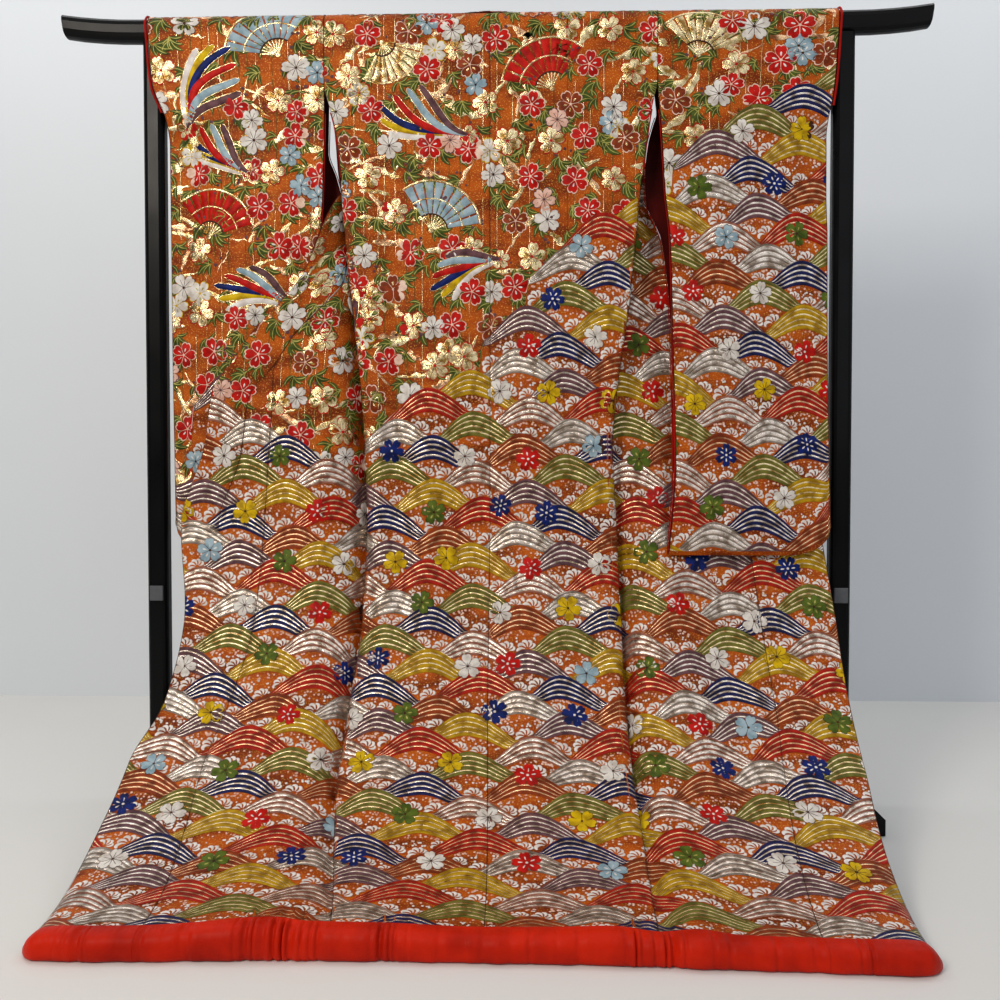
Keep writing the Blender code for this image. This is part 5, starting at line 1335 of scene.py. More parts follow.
BLOSSOMS = {
    "red": BlossomStyle(Floss.BLOSSOM_RED, Floss.OUTLINE, Floss.FOAM),
    "navy": BlossomStyle(Floss.BLOSSOM_NAVY, Floss.BLOSSOM_NAVY, Floss.FOAM, 6),
    "green": BlossomStyle(Floss.BLOSSOM_GREEN, Floss.DARK_LINE, Floss.LEAF_LIGHT),
    "yellow": BlossomStyle(Floss.BLOSSOM_YELLOW, Floss.DARK_LINE, Floss.DARK_LINE),
    "white": BlossomStyle(Floss.BLOSSOM_WHITE, Floss.DARK_LINE, Floss.DARK_LINE),
    "blue": BlossomStyle(Floss.BLOSSOM_BLUE, Floss.DARK_LINE, Floss.FOAM),
    "wave_red": BlossomStyle(Floss.BLOSSOM_RED, Floss.BLOSSOM_RED, Floss.FOAM),
    "cream": BlossomStyle(Floss.BLOSSOM_WHITE, Floss.BLOSSOM_YELLOW, Floss.LEAF_LIGHT),
    "mauve": BlossomStyle(Floss.MAUVE, Floss.DARK_LINE, Floss.OUTLINE),
    "pink": BlossomStyle(Floss.PINK_DOT, Floss.MAUVE, Floss.DARK_LINE),
    "orange": BlossomStyle(Floss.BROWN, Floss.OUTLINE, Floss.FOIL_GOLD),
    "gold": BlossomStyle(Floss.FOIL_GOLD, Floss.BLOSSOM_RED, Floss.DARK_LINE),
}


def blossom(shapes: Shapes, centre: Array, radius: float, style: BlossomStyle, turn: float) -> None:
    """Draw a blossom of notched petals.

    Args:
        shapes: Where to draw.
        centre: Its place.
        radius: Its radius.
        style: Its threads.
        turn: How far it is turned.
    """
    count = style.petals * 10
    angle = np.linspace(0.0, 2.0 * math.pi, count, endpoint=False)
    local = (angle * style.petals / (2.0 * math.pi) % 1.0) - 0.5
    lobes = 0.46 + 0.54 * np.clip(np.cos(local * math.pi), 0.0, 1.0) ** 0.55
    lobes = lobes * (1.0 - 0.13 * np.exp(-(local / 0.075) ** 2))
    around = np.stack([np.cos(angle + turn), np.sin(angle + turn)], -1)
    if style.outline is not style.petal:
        edge = 0.0021 if style.outline is not Floss.DARK_LINE else 0.0009
        shapes.star(centre, centre + around * (radius * lobes + edge)[:, None], style.outline, 0.86 * MM,
                    0.1)
    shapes.star(centre, centre + around * (radius * lobes)[:, None], style.petal, 0.98 * MM)
    for petal in range(style.petals):
        a = turn + 2.0 * math.pi * (petal + 0.5) / style.petals
        ahead = np.array([math.cos(a), math.sin(a)])
        if style.drops is Floss.DARK_LINE:
            path = centre + ahead * (np.linspace(0.10, 0.62, 3) * radius)[:, None]
            shapes.ribbon(path, 0.0009, Floss.DARK_LINE, 1.06 * MM)
        else:
            t = np.array([0.26, 0.36, 0.48, 0.56])
            shapes.ribbon(centre + ahead * (t * radius)[:, None],
                          radius * np.array([0.02, 0.10, 0.12, 0.02]),
                          style.drops, 1.08 * MM)
        b = a + math.pi / style.petals
        cut = np.array([math.cos(b), math.sin(b)])
        dark = Floss.DARK_LINE if style.outline is Floss.DARK_LINE else style.outline
        if dark is not style.petal:
            shapes.ribbon(centre + cut * (np.linspace(0.08, 0.47, 3) * radius)[:, None], 0.0010, dark,
                          1.06 * MM)
    shapes.dot(centre, radius * 0.10, style.outline if style.outline is not style.petal else style.drops,
               1.12 * MM)


def leaf(shapes: Shapes, base: Array, angle: float, length: float, width: float) -> None:
    """Draw one leaf with its light vein.

    Args:
        shapes: Where to draw.
        base: Where it starts.
        angle: Its direction.
        length: Its length.
        width: Its width.
    """
    t = np.linspace(0.0, 1.0, 8)
    bend = 0.14 * length * np.sin(math.pi * t)
    ahead = np.array([math.cos(angle), math.sin(angle)])
    aside = np.array([-math.sin(angle), math.cos(angle)])
    path = base + ahead * (length * t)[:, None] + aside * bend[:, None]
    shape = np.sin(math.pi * t ** 0.82) ** 0.9
    shapes.ribbon(path, np.maximum(0.0006, width * shape), Floss.LEAF, 0.70 * MM)
    shapes.ribbon(path[:-1], np.full(7, 0.0013), Floss.LEAF_LIGHT, 0.80 * MM)


def spray(shapes: Shapes, base: Array, angle: float, rng: np.random.Generator) -> None:
    """Draw a spray of leaves that hangs from a place."""
    count = int(rng.integers(4, 8))
    for k in range(count):
        share = k / (count - 1) - 0.5
        size = rng.uniform(0.026, 0.038) * (1.0 - 0.5 * abs(share))
        start = base + np.array([math.cos(angle), math.sin(angle)]) * rng.uniform(0.0, 0.012)
        leaf(shapes, start, angle + share * 2.5 + rng.uniform(-0.15, 0.15), size,
             size * rng.uniform(0.28, 0.36))


def fan(shapes: Shapes, values: Sequence) -> None:
    """Draw an open fan: blades of one thread between gold ribs, with a gold edge."""
    row = dict(zip(FAN_COLUMNS, values))
    centre = np.array([row["u"], row["v"]])
    radius, floss = row["radius"], LARGE_THREADS[row["thread"]]
    middle = math.radians(row["turn"]) - math.pi / 2.0
    spread, blades = math.radians(118.0), 9
    for k in range(blades):
        first = middle - spread / 2.0 + spread * (k + 0.10) / blades
        last = middle - spread / 2.0 + spread * (k + 0.90) / blades
        reach = np.linspace(0.34, 1.0, 8) * radius
        sides = [centre + np.stack([np.cos(a) * reach, np.sin(a) * reach], -1) for a in (first, last)]
        shapes.strip(sides[0], sides[1], floss, 0.80 * MM)
        rib = centre + np.stack([np.cos(first - 0.03) * radius * np.array([0.06, 0.2, 0.34]),
                                 np.sin(first - 0.03) * radius * np.array([0.06, 0.2, 0.34])], -1)
        shapes.ribbon(rib, 0.0024, Floss.FOIL_GOLD, 0.84 * MM)
    arc = middle + np.linspace(-spread / 2.0, spread / 2.0, 26)
    for reach, width, thread in ((1.03, 0.0032, Floss.FOIL_GOLD), (0.66, 0.0024, Floss.FOIL_GOLD),
                                 (0.34, 0.0030, Floss.DARK_LINE)):
        path = centre + radius * reach * np.stack([np.cos(arc), np.sin(arc)], -1)
        shapes.ribbon(path, width, thread, 0.92 * MM)
    shapes.dot(centre, 0.0045, Floss.FOIL_GOLD, 0.96 * MM, 10)


def streamers(shapes: Shapes, values: Sequence) -> None:
    """Draw a bundle of long streamers, tied at one end and spreading at the other."""
    row = dict(zip(STREAMER_COLUMNS, values))
    knot = np.array([row["u"], row["v"]])
    t = np.linspace(0.0, 1.0, 22)
    threads = (Floss.FOAM, Floss.BLOSSOM_YELLOW, Floss.BLOSSOM_NAVY, Floss.BLOSSOM_RED, Floss.BLOSSOM_BLUE,
               Floss.MAUVE)
    for k, floss in enumerate(threads):
        share = k / (len(threads) - 1) - 0.5
        length = row["length"] * (1.0 - 0.45 * abs(share + 0.12))
        angle = math.radians(row["turn"]) + share * 0.75 + row["bend"] * (t - 0.5) * 2.2 \
            + 0.16 * np.sin(2.0 * math.pi * t + k)
        steps = np.stack([np.cos(angle), np.sin(angle)], -1) * (length / 21.0)
        path = knot + np.concatenate([np.zeros((1, 2)), np.cumsum(steps, axis=0)[:-1]])
        width = 0.0045 + 0.0085 * np.sin(math.pi * t * 0.86) ** 0.7
        width[-1] = 0.002
        shapes.ribbon(path, width + 0.0022, Floss.FOIL_GOLD, (0.86 + 0.03 * k) * MM, 0.1)
        shapes.ribbon(path, width, floss, (0.92 + 0.03 * k) * MM, 0.55)
    blossom(shapes, knot, 0.019, BLOSSOMS["gold"], 0.3)


@dataclass
class FlowerField:
    """The upper field: blossoms and leaves over gold mist and thin hanging lines."""

    start_u: float
    end_u: float
    start_v: float
    end_v: float
    fans: Sequence
    bundles: Sequence
    seed: int = 5
    pitch: float = 0.076
    shapes: Shapes = field(default_factory=Shapes)

    def __post_init__(self) -> None:
        """Draw the field from back to front."""
        rng = np.random.default_rng(self.seed)
        self.lines(rng)
        self.mist(rng)
        self.leaves(rng)
        for values in self.fans:
            fan(self.shapes, values)
        for values in self.bundles:
            streamers(self.shapes, values)
        self.blossoms(rng)

    def lines(self, rng: np.random.Generator) -> None:
        """Thin gold and green lines that hang straight down."""
        u = self.start_u
        while u < self.end_u:
            v = self.start_v
            while v < self.end_v:
                length = rng.uniform(0.10, 0.32)
                path = np.stack([np.full(20, u), np.linspace(v, v + length, 20)], -1)
                floss = Floss.FOIL_GOLD if rng.random() < 0.6 else Floss.LEAF
                self.shapes.ribbon(path, 0.0010, floss, 0.52 * MM)
                v += length + rng.uniform(0.0, 0.12)
            u += rng.uniform(0.012, 0.030)

    def mist(self, rng: np.random.Generator) -> None:
        """Ragged flakes and streaks of foil."""
        area = (self.end_u - self.start_u) * (self.end_v - self.start_v)
        for _ in range(int(area * 330)):
            centre = np.array([rng.uniform(self.start_u, self.end_u), rng.uniform(self.start_v, self.end_v)])
            length = rng.uniform(0.024, 0.105)
            angle = rng.choice([0.0, 0.3, -0.5, 0.9, -1.0]) + rng.uniform(-0.25, 0.25)
            t = np.linspace(-0.5, 0.5, 9)
            path = centre + np.stack([np.cos(angle) * t, np.sin(angle) * t], -1) * length
            path = path + rng.uniform(-0.0028, 0.0028, path.shape)
            width = rng.uniform(0.0040, 0.0210) * np.clip(1.0 - np.abs(t) * 1.5, 0.1,
                                                          1.0) * rng.uniform(0.4, 1.3, 9)
            self.shapes.ribbon(path, width, Floss.FOIL_GOLD if rng.random() < 0.7 else Floss.FOIL_COPPER,
                               0.60 * MM)

    def places(self, rng: np.random.Generator, pitch: float, spread: float) -> list[Array]:
        """Uneven places over the field, in staggered rows."""
        found = []
        rows = int((self.end_v - self.start_v) / (pitch * 0.9)) + 1
        for row in range(rows):
            columns = int((self.end_u - self.start_u) / pitch) + 1
            for column in range(columns):
                u = self.start_u + (column + 0.5 * (row % 2)) * pitch
                v = self.start_v + row * pitch * 0.9
                found.append(np.array([u, v]) + rng.uniform(-spread, spread, 2))
        return found

    def leaves(self, rng: np.random.Generator) -> None:
        """Sprays of leaves, and small purple buds among them."""
        for place in self.places(rng, 0.052, 0.016):
            spray(self.shapes, place, math.pi / 2.0 + rng.uniform(-1.3, 1.3), rng)
            if rng.random() < 0.30:
                for _ in range(3):
                    at = place + rng.uniform(-0.014, 0.014, 2)
                    self.shapes.dot(at, rng.uniform(0.0022, 0.0036), Floss.MAUVE, 0.84 * MM, 7)

    def clear(self, place: Array, reach: float) -> bool:
        """Whether a place lies off the fans and the streamers' middle."""
        for values in self.fans:
            row = dict(zip(FAN_COLUMNS, values))
            a = math.radians(row["turn"]) - math.pi / 2.0
            middle = np.array([row["u"] + 0.62 * row["radius"] * math.cos(a),
                               row["v"] + 0.62 * row["radius"] * math.sin(a)])
            if np.linalg.norm(place - middle) < row["radius"] * 0.62 + reach:
                return False
        for values in self.bundles:
            row = dict(zip(STREAMER_COLUMNS, values))
            a = math.radians(row["turn"])
            for share in (0.25, 0.55, 0.85):
                at = np.array([row["u"] + share * row["length"] * math.cos(a),
                               row["v"] + share * row["length"] * math.sin(a)])
                if np.linalg.norm(place - at) < 0.030 + 0.5 * reach:
                    return False
        return True

    def blossoms(self, rng: np.random.Generator) -> None:
        """Blossoms, often two together, the paler one behind."""
        fronts = ("red", "white", "cream", "red", "navy", "gold", "red", "mauve", "orange", "red", "gold",
                  "yellow")
        backs = ("pink", "cream", "white", "red", "blue", "gold")
        for number, place in enumerate(self.places(rng, self.pitch, 0.012)):
            if not self.clear(place, 0.018):
                continue
            style = BLOSSOMS[fronts[(number * 5 + number // 7) % len(fronts)]]
            radius = rng.uniform(0.0245, 0.0285)
            if rng.random() < 0.45:
                away = rng.uniform(0.0, 2.0 * math.pi)
                behind = place + 0.038 * np.array([math.cos(away), math.sin(away)])
                blossom(self.shapes, behind, radius * 0.88, BLOSSOMS[backs[number % len(backs)]], away)
            blossom(self.shapes, place, radius, style, rng.uniform(0.0, 2.0))


@dataclass
class Weave:
    """The whole design of one part of the garment: flowers above, waves below."""

    table: tuple[tuple[float, float], ...]
    reach: float
    start_v: float
    end_v: float
    fans: Sequence
    bundles: Sequence
    shift_u: float = 0.0
    seed: int = 5
    blossom_pitch: float = 0.128
    shapes: Shapes = field(default_factory=Shapes)

    def __post_init__(self) -> None:
        """Draw the waves, cut the flowers off along them, and strew blossoms over the waves."""
        waves = WaveField(self.table, -self.reach, self.reach, self.end_v, self.shift_u)
        flowers = FlowerField(-self.reach, self.reach, self.start_v, max(v for _, v in self.table) + 0.08,
                              self.fans,
                              self.bundles, self.seed)
        self.shapes.merge(waves.shapes)
        self.shapes.merge(flowers.shapes, keep_above=waves.border, margin=0.0006)
        self.strew(waves.border)

    def strew(self, border: Cover) -> None:
        """Blossoms that float on the waves."""
        rng = np.random.default_rng(self.seed + 1)
        colours = ("wave_red", "yellow", "navy", "white", "green", "blue", "wave_red", "white", "yellow",
                   "navy",
                   "green", "white")
        rows = int((self.end_v - 0.1) / (self.blossom_pitch * 0.80))
        number = 0
        for row in range(rows):
            for column in range(-int(self.reach / self.blossom_pitch) - 1,
                                int(self.reach / self.blossom_pitch) + 1):
                u = (column + 0.5 * (row % 2)) * self.blossom_pitch + rng.uniform(-0.028, 0.028)
                v = 0.12 + row * self.blossom_pitch * 0.80 + rng.uniform(-0.018, 0.018)
                number += 1
                if abs(u) > self.reach or v < float(border.at(u)) + 0.030 or v > self.end_v - 0.02:
                    continue
                style = BLOSSOMS[colours[(number * 5 + row) % len(colours)]]
                blossom(self.shapes, np.array([u, v]), rng.uniform(0.0225, 0.0255), style,
                        rng.uniform(0.0, 1.2))


# ---- the sewn pieces -----------------------------------------------------------------------------
@dataclass(frozen=True)
class ClothWalls:
    """How far the brocade and the lining lie from the middle of the cloth."""

    body_outer: float = 1.0 * MM
    body_inner: float = 1.2 * MM
    collar_outer: float = 2.5 * MM
    collar_inner: float = 1.2 * MM
    sleeve: float = 1.8 * MM
    row_step: float = 0.009


@dataclass
class BodyPanel:
    """Back and front of one side, in a single length of cloth over the rod."""

    drape: Drape
    side: int
    word: str
    walls: ClothWalls = ClothWalls()
    front_start_s: float = 0.100
    flat: tuple[float, float] = (0.320, 3.69)
    grid: ClothGrid = field(init=False)
    back: ClothGrid = field(init=False)
    front: ClothGrid = field(init=False)

    def __post_init__(self) -> None:
        """Lay out the grid of the whole panel."""
        stops = stops_across(self.drape.shoulder_width)
        back = self.back_rows(stops)
        rod = self.rod_rows(stops)
        front = self.front_rows(stops)
        between = blend_rows(rod, front, 5)
        points, u, v = (np.concatenate(parts) for parts in zip(back, rod, between, front))
        self.grid = ClothGrid(points, u, v, -self.side, stops)
        self.crease(stops)
        back_count = len(back[1]) + len(rod[1])
        self.back = self.grid.part(slice(0, back_count))
        self.front = self.grid.part(slice(len(u) - len(front[1]), len(u)))

    def steps(self, first: float, last: float) -> Array:
        """Even rows between two lengths."""
        return np.linspace(first, last, max(2, round(abs(last - first) / self.walls.row_step)))

    def back_rows(self, stops: Array) -> tuple[Array, Array, Array]:
        """Rows of the back from the hem up to the rod, the last one left to the rod."""
        s = self.steps(self.drape.hem_s, self.drape.shoulder_s)[:-1]
        line, lengths = self.drape.back_curves(self.side, s)
        gap = self.drape.seam_gap / 2.0
        distance = gap + (lengths[:, -1:] - 2.0 * gap) * stops
        at = along(line, lengths, distance)
        v = np.broadcast_to(s[:, None], distance.shape)
        return self.drape.cloth_point(self.side * at[..., 0], v, at[..., 1]), self.side * distance, v

    def rod_rows(self, stops: Array) -> tuple[Array, Array, Array]:
        """Rows over the rod, from the back's first row to the neck's last."""
        angles = np.linspace(-90.0, NECK[-1][0], 34)
        neck = Table(NECK_COLUMNS, NECK).read(angles)["seam_x"]
        start = neck + 0.0004
        end = self.drape.shoulder_width - self.drape.seam_gap / 2.0
        across = start[:, None] + (end - start[:, None]) * stops
        rho = np.broadcast_to((angles / 90.0 * self.drape.rod_quarter)[:, None], across.shape)
        v = self.drape.shoulder_s - self.drape.rod_quarter - rho
        return self.drape.rod_point(self.side * across, rho), self.side * across, v

    def front_rows(self, stops: Array) -> tuple[Array, Array, Array]:
        """Rows of the front from below the neck down to the hem."""
        s = self.steps(self.front_start_s, self.drape.hem_s)
        line, lengths = self.drape.front_curves(self.side, s)
        start = self.drape.seam_gap / 2.0
        end = self.drape.front_edge(self.side, s, line, lengths) - self.drape.collar_gap(s) / 2.0
        distance = start + (end - start)[:, None] * (1.0 - stops)
        at = along(line, lengths, distance)
        v = np.broadcast_to(s[:, None], distance.shape)
        width = self.drape.back_curves(self.side, s)[1][:, -1:]
        return self.drape.cloth_point(self.side * at[..., 0], v,
                                      at[..., 1]), self.side * (width + distance), v

    def crease(self, stops: Array) -> None:
        """Add the soft creases, the seams' dips and the puckers above the hem."""
        width = np.abs(self.grid.u[:, -1:] - self.grid.u[:, :1])
        depth = crease_depth(BODY_CREASES, self.grid.u, self.grid.v)
        depth = depth * seam_hold(stops * width, width) + hem_puckers(self.drape, self.grid)
        depth = depth + seam_pucker(stops * width, self.grid.v, 0.15) + seam_pucker((1.0 - stops) * width,
                                                                                    self.grid.v, 0.6)
        self.grid.push(depth)

    def build(self, brocade: bpy.types.Material, lining: bpy.types.Material) -> bpy.types.Object:
        """Make the shell."""
        return shell("cloth_body_panel_" + self.word, self.grid, self.walls.body_outer,
                     self.walls.body_inner,
                     brocade, lining)


def blend_rows(first: tuple[Array, ...], second: tuple[Array, ...], count: int) -> tuple[Array, ...]:
    """Straight rows between the last row of one run of rows and the first row of the next.

    Args:
        first: Points, u and v of the first run.
        second: Points, u and v of the second run.
        count: How many rows.

    Returns:
        Points, u and v of the rows between.
    """
    t = np.linspace(0.0, 1.0, count + 2)[1:-1]
    points = first[0][-1] + (second[0][0] - first[0][-1]) * t[:, None, None]
    return (points, *(a[-1] + (b[0] - a[-1]) * t[:, None] for a, b in zip(first[1:], second[1:])))


def seam_hold(distance: Array, width: Array, reach: float = 0.012) -> Array:
    """Share of a crease's depth that is left near the seams, which hold the cloth still."""
    near = np.minimum(distance, width - distance)
    return ease(0.0, reach, near)


def hem_puckers(drape: Drape, grid: ClothGrid, reach: float = 0.055) -> Array:
    """Depth of the short puckers that the gathered hem draws in the cloth above it."""
    x = grid.points[..., 0] - drape.garment_x
    total = np.zeros(x.shape)
    for values in GATHERS:
        row = dict(zip(GATHER_COLUMNS, values))
        inside = ease(row["start_x"] - 0.01, row["start_x"] + 0.02, x)
        inside = inside * (1.0 - ease(row["end_x"] - 0.02, row["end_x"] + 0.01, x))
        turn = 2.0 * math.pi * (x - row["start_x"]) / (row["pitch"] * 1.5)
        longer = reach * (0.75 + 0.35 * np.sin(turn * 0.31))
        fade = np.clip(1.0 - (drape.hem_s - grid.v) / longer, 0.0, 1.0) ** 1.4
        total = total + 0.5 * row["depth"] * inside * fade * np.cos(turn) * ease(0.0, 0.012, drape.hem_s
                                                                                 - grid.v)
    return total


@dataclass
class OverlapPanel:
    """The okumi: the panel between the front and the front's free edge."""

    drape: Drape
    side: int
    word: str
    walls: ClothWalls = ClothWalls()
    flat: tuple[float, float] = (0.150, 1.155)
    grid: ClothGrid = field(init=False)

    def __post_init__(self) -> None:
        """Lay out the grid."""
        drape = self.drape
        upper = np.linspace(drape.okumi_top_s, drape.collar_end_s, 36)
        lower = np.linspace(drape.collar_end_s + 0.001, drape.hem_s, 96)
        s = np.concatenate([upper, lower])
        line, lengths = drape.front_curves(self.side, s)
        gap = drape.seam_gap / 2.0
        start = drape.front_edge(self.side, s, line, lengths) + gap
        sewn = drape.collar_seam(self.side, s, lengths) - gap
        end = np.where(s <= drape.collar_end_s, sewn, lengths[:, -1])
        stops = stops_across(0.150)
        distance = start[:, None] + (end - start)[:, None] * stops
        at = along(line, lengths, distance)
        v = np.broadcast_to(s[:, None], distance.shape)
        width = drape.back_curves(self.side, s)[1][:, -1:]
        points = drape.cloth_point(self.side * at[..., 0], v, at[..., 1])
        self.grid = ClothGrid(points, self.side * (width + distance), v, self.side, stops)
        span = (end - start)[:, None]
        depth = crease_depth(BODY_CREASES, self.grid.u, v) * seam_hold(stops * span, span)
        depth = depth + hem_puckers(drape, self.grid) + seam_pucker(stops * span, v, 0.4)
        self.grid.push(depth)
        self.grid = self.grid.part(slice(0, len(s)))

    def build(self, brocade: bpy.types.Material, lining: bpy.types.Material) -> bpy.types.Object:
        """Make the shell."""
        return shell("cloth_overlap_panel_" + self.word, self.grid, self.walls.body_outer,
                     self.walls.body_inner,
                     brocade, lining)


@dataclass
class Collar:
    """The collar band: up one front, round the neck over the rod, and down the other front."""

    drape: Drape
    walls: ClothWalls = ClothWalls()
    end_gap: float = 0.0003
    lift: float = 0.0020
    neck_gap: float = 0.0008
    flat: tuple[float, float] = (0.068, 2.16)
    grid: ClothGrid = field(init=False)
    left: ClothGrid = field(init=False)
    right: ClothGrid = field(init=False)

    def __post_init__(self) -> None:
        """Lay out the grid."""
        stops = stops_across(self.drape.collar_width, 0.006)
        halves = []
        for side in (-1, 1):
            neck, front = self.neck_rows(side, stops), self.front_rows(side, stops)
            halves.append([np.concatenate(parts) for parts in zip(neck, blend_rows(neck, front, 5), front)])
        left = [part[::-1] for part in halves[0]]
        right = [part[1:] for part in halves[1]]
        points, u, v = (np.concatenate(parts) for parts in zip(left, right))
        self.grid = ClothGrid(points, u, v, 1, stops)
        width = self.drape.collar_width
        self.grid.push(seam_pucker(stops * width, v,
                                   0.3) - 1.2 * MM * np.exp(-((1.0 - stops) * width / 0.003) ** 2))
        self.left = self.grid.part(slice(0, len(left[1])))
        self.right = self.grid.part(slice(len(left[1]), len(u)))

    def neck_rows(self, side: int, stops: Array) -> tuple[Array, Array, Array]:
        """Rows from the centre back round one side of the neck."""
        angles = np.linspace(NECK[0][0], NECK[-1][0], 28)
        row = Table(NECK_COLUMNS, NECK).read(angles)
        seam = np.stack([row["seam_x"], angles / 90.0 * self.drape.rod_quarter], -1)
        free = np.stack([row["free_x"], row["free_rho"]], -1)
        inward = unit(free - seam) * self.neck_gap / 2.0
        flat = (seam + inward)[:, None, :] + (free - seam - inward)[:, None, :] * stops[:, None]
        points = self.drape.rod_point(side * flat[..., 0], flat[..., 1])
        reach = 0.0012
        forward = (self.drape.rod_point(side * flat[..., 0], flat[..., 1] + reach)
                   - self.drape.rod_point(side * flat[..., 0], flat[..., 1] - reach))
        aside = np.array([2.0 * reach, 0.0, 0.0])
        normal = unit(np.cross(forward, np.broadcast_to(aside * side, forward.shape))) * -side
        lift = self.lift * (1.0 - ease(90.0, NECK[-1][0], angles))[:, None, None]
        top = self.top_u(side)
        length = np.concatenate([[0.0], np.cumsum(np.linalg.norm(np.diff(seam, axis=0), axis=1))])
        v = BodyPanel.front_start_s - 0.047 - (length[-1] - length)
        u = side * (top + self.drape.collar_width * stops)
        shape = flat.shape[:2]
        return points + normal * lift, np.broadcast_to(u, shape), np.broadcast_to(v[:, None], shape)

    def top_u(self, side: int) -> float:
        """How far round the cloth the collar's seam is where the neck begins."""
        s = np.array([BodyPanel.front_start_s])
        lengths = self.drape.front_curves(side, s)[1]
        return float(self.drape.back_curves(side, s)[1][0, -1] + self.drape.collar_seam(side, s, lengths)[0])

    def front_rows(self, side: int, stops: Array) -> tuple[Array, Array, Array]:
        """Rows down one front."""
        s = np.linspace(BodyPanel.front_start_s, self.drape.collar_end_s - self.end_gap, 98)
        line, lengths = self.drape.front_curves(side, s)
        start = self.drape.collar_seam(side, s, lengths) + self.drape.collar_gap(s) / 2.0
        distance = start[:, None] + (lengths[:, -1] - start)[:, None] * stops
        at = along(line, lengths, distance)
        v = np.broadcast_to(s[:, None], distance.shape)
        width = self.drape.back_curves(side, s)[1][:, -1:]
        return self.drape.cloth_point(side * at[..., 0], v, at[..., 1]), side * (width + distance), v

    def build(self, brocade: bpy.types.Material, lining: bpy.types.Material) -> bpy.types.Object:
        """Make the band."""
        return shell("cloth_collar", self.grid, self.walls.collar_outer, self.walls.collar_inner, brocade,
                     lining)


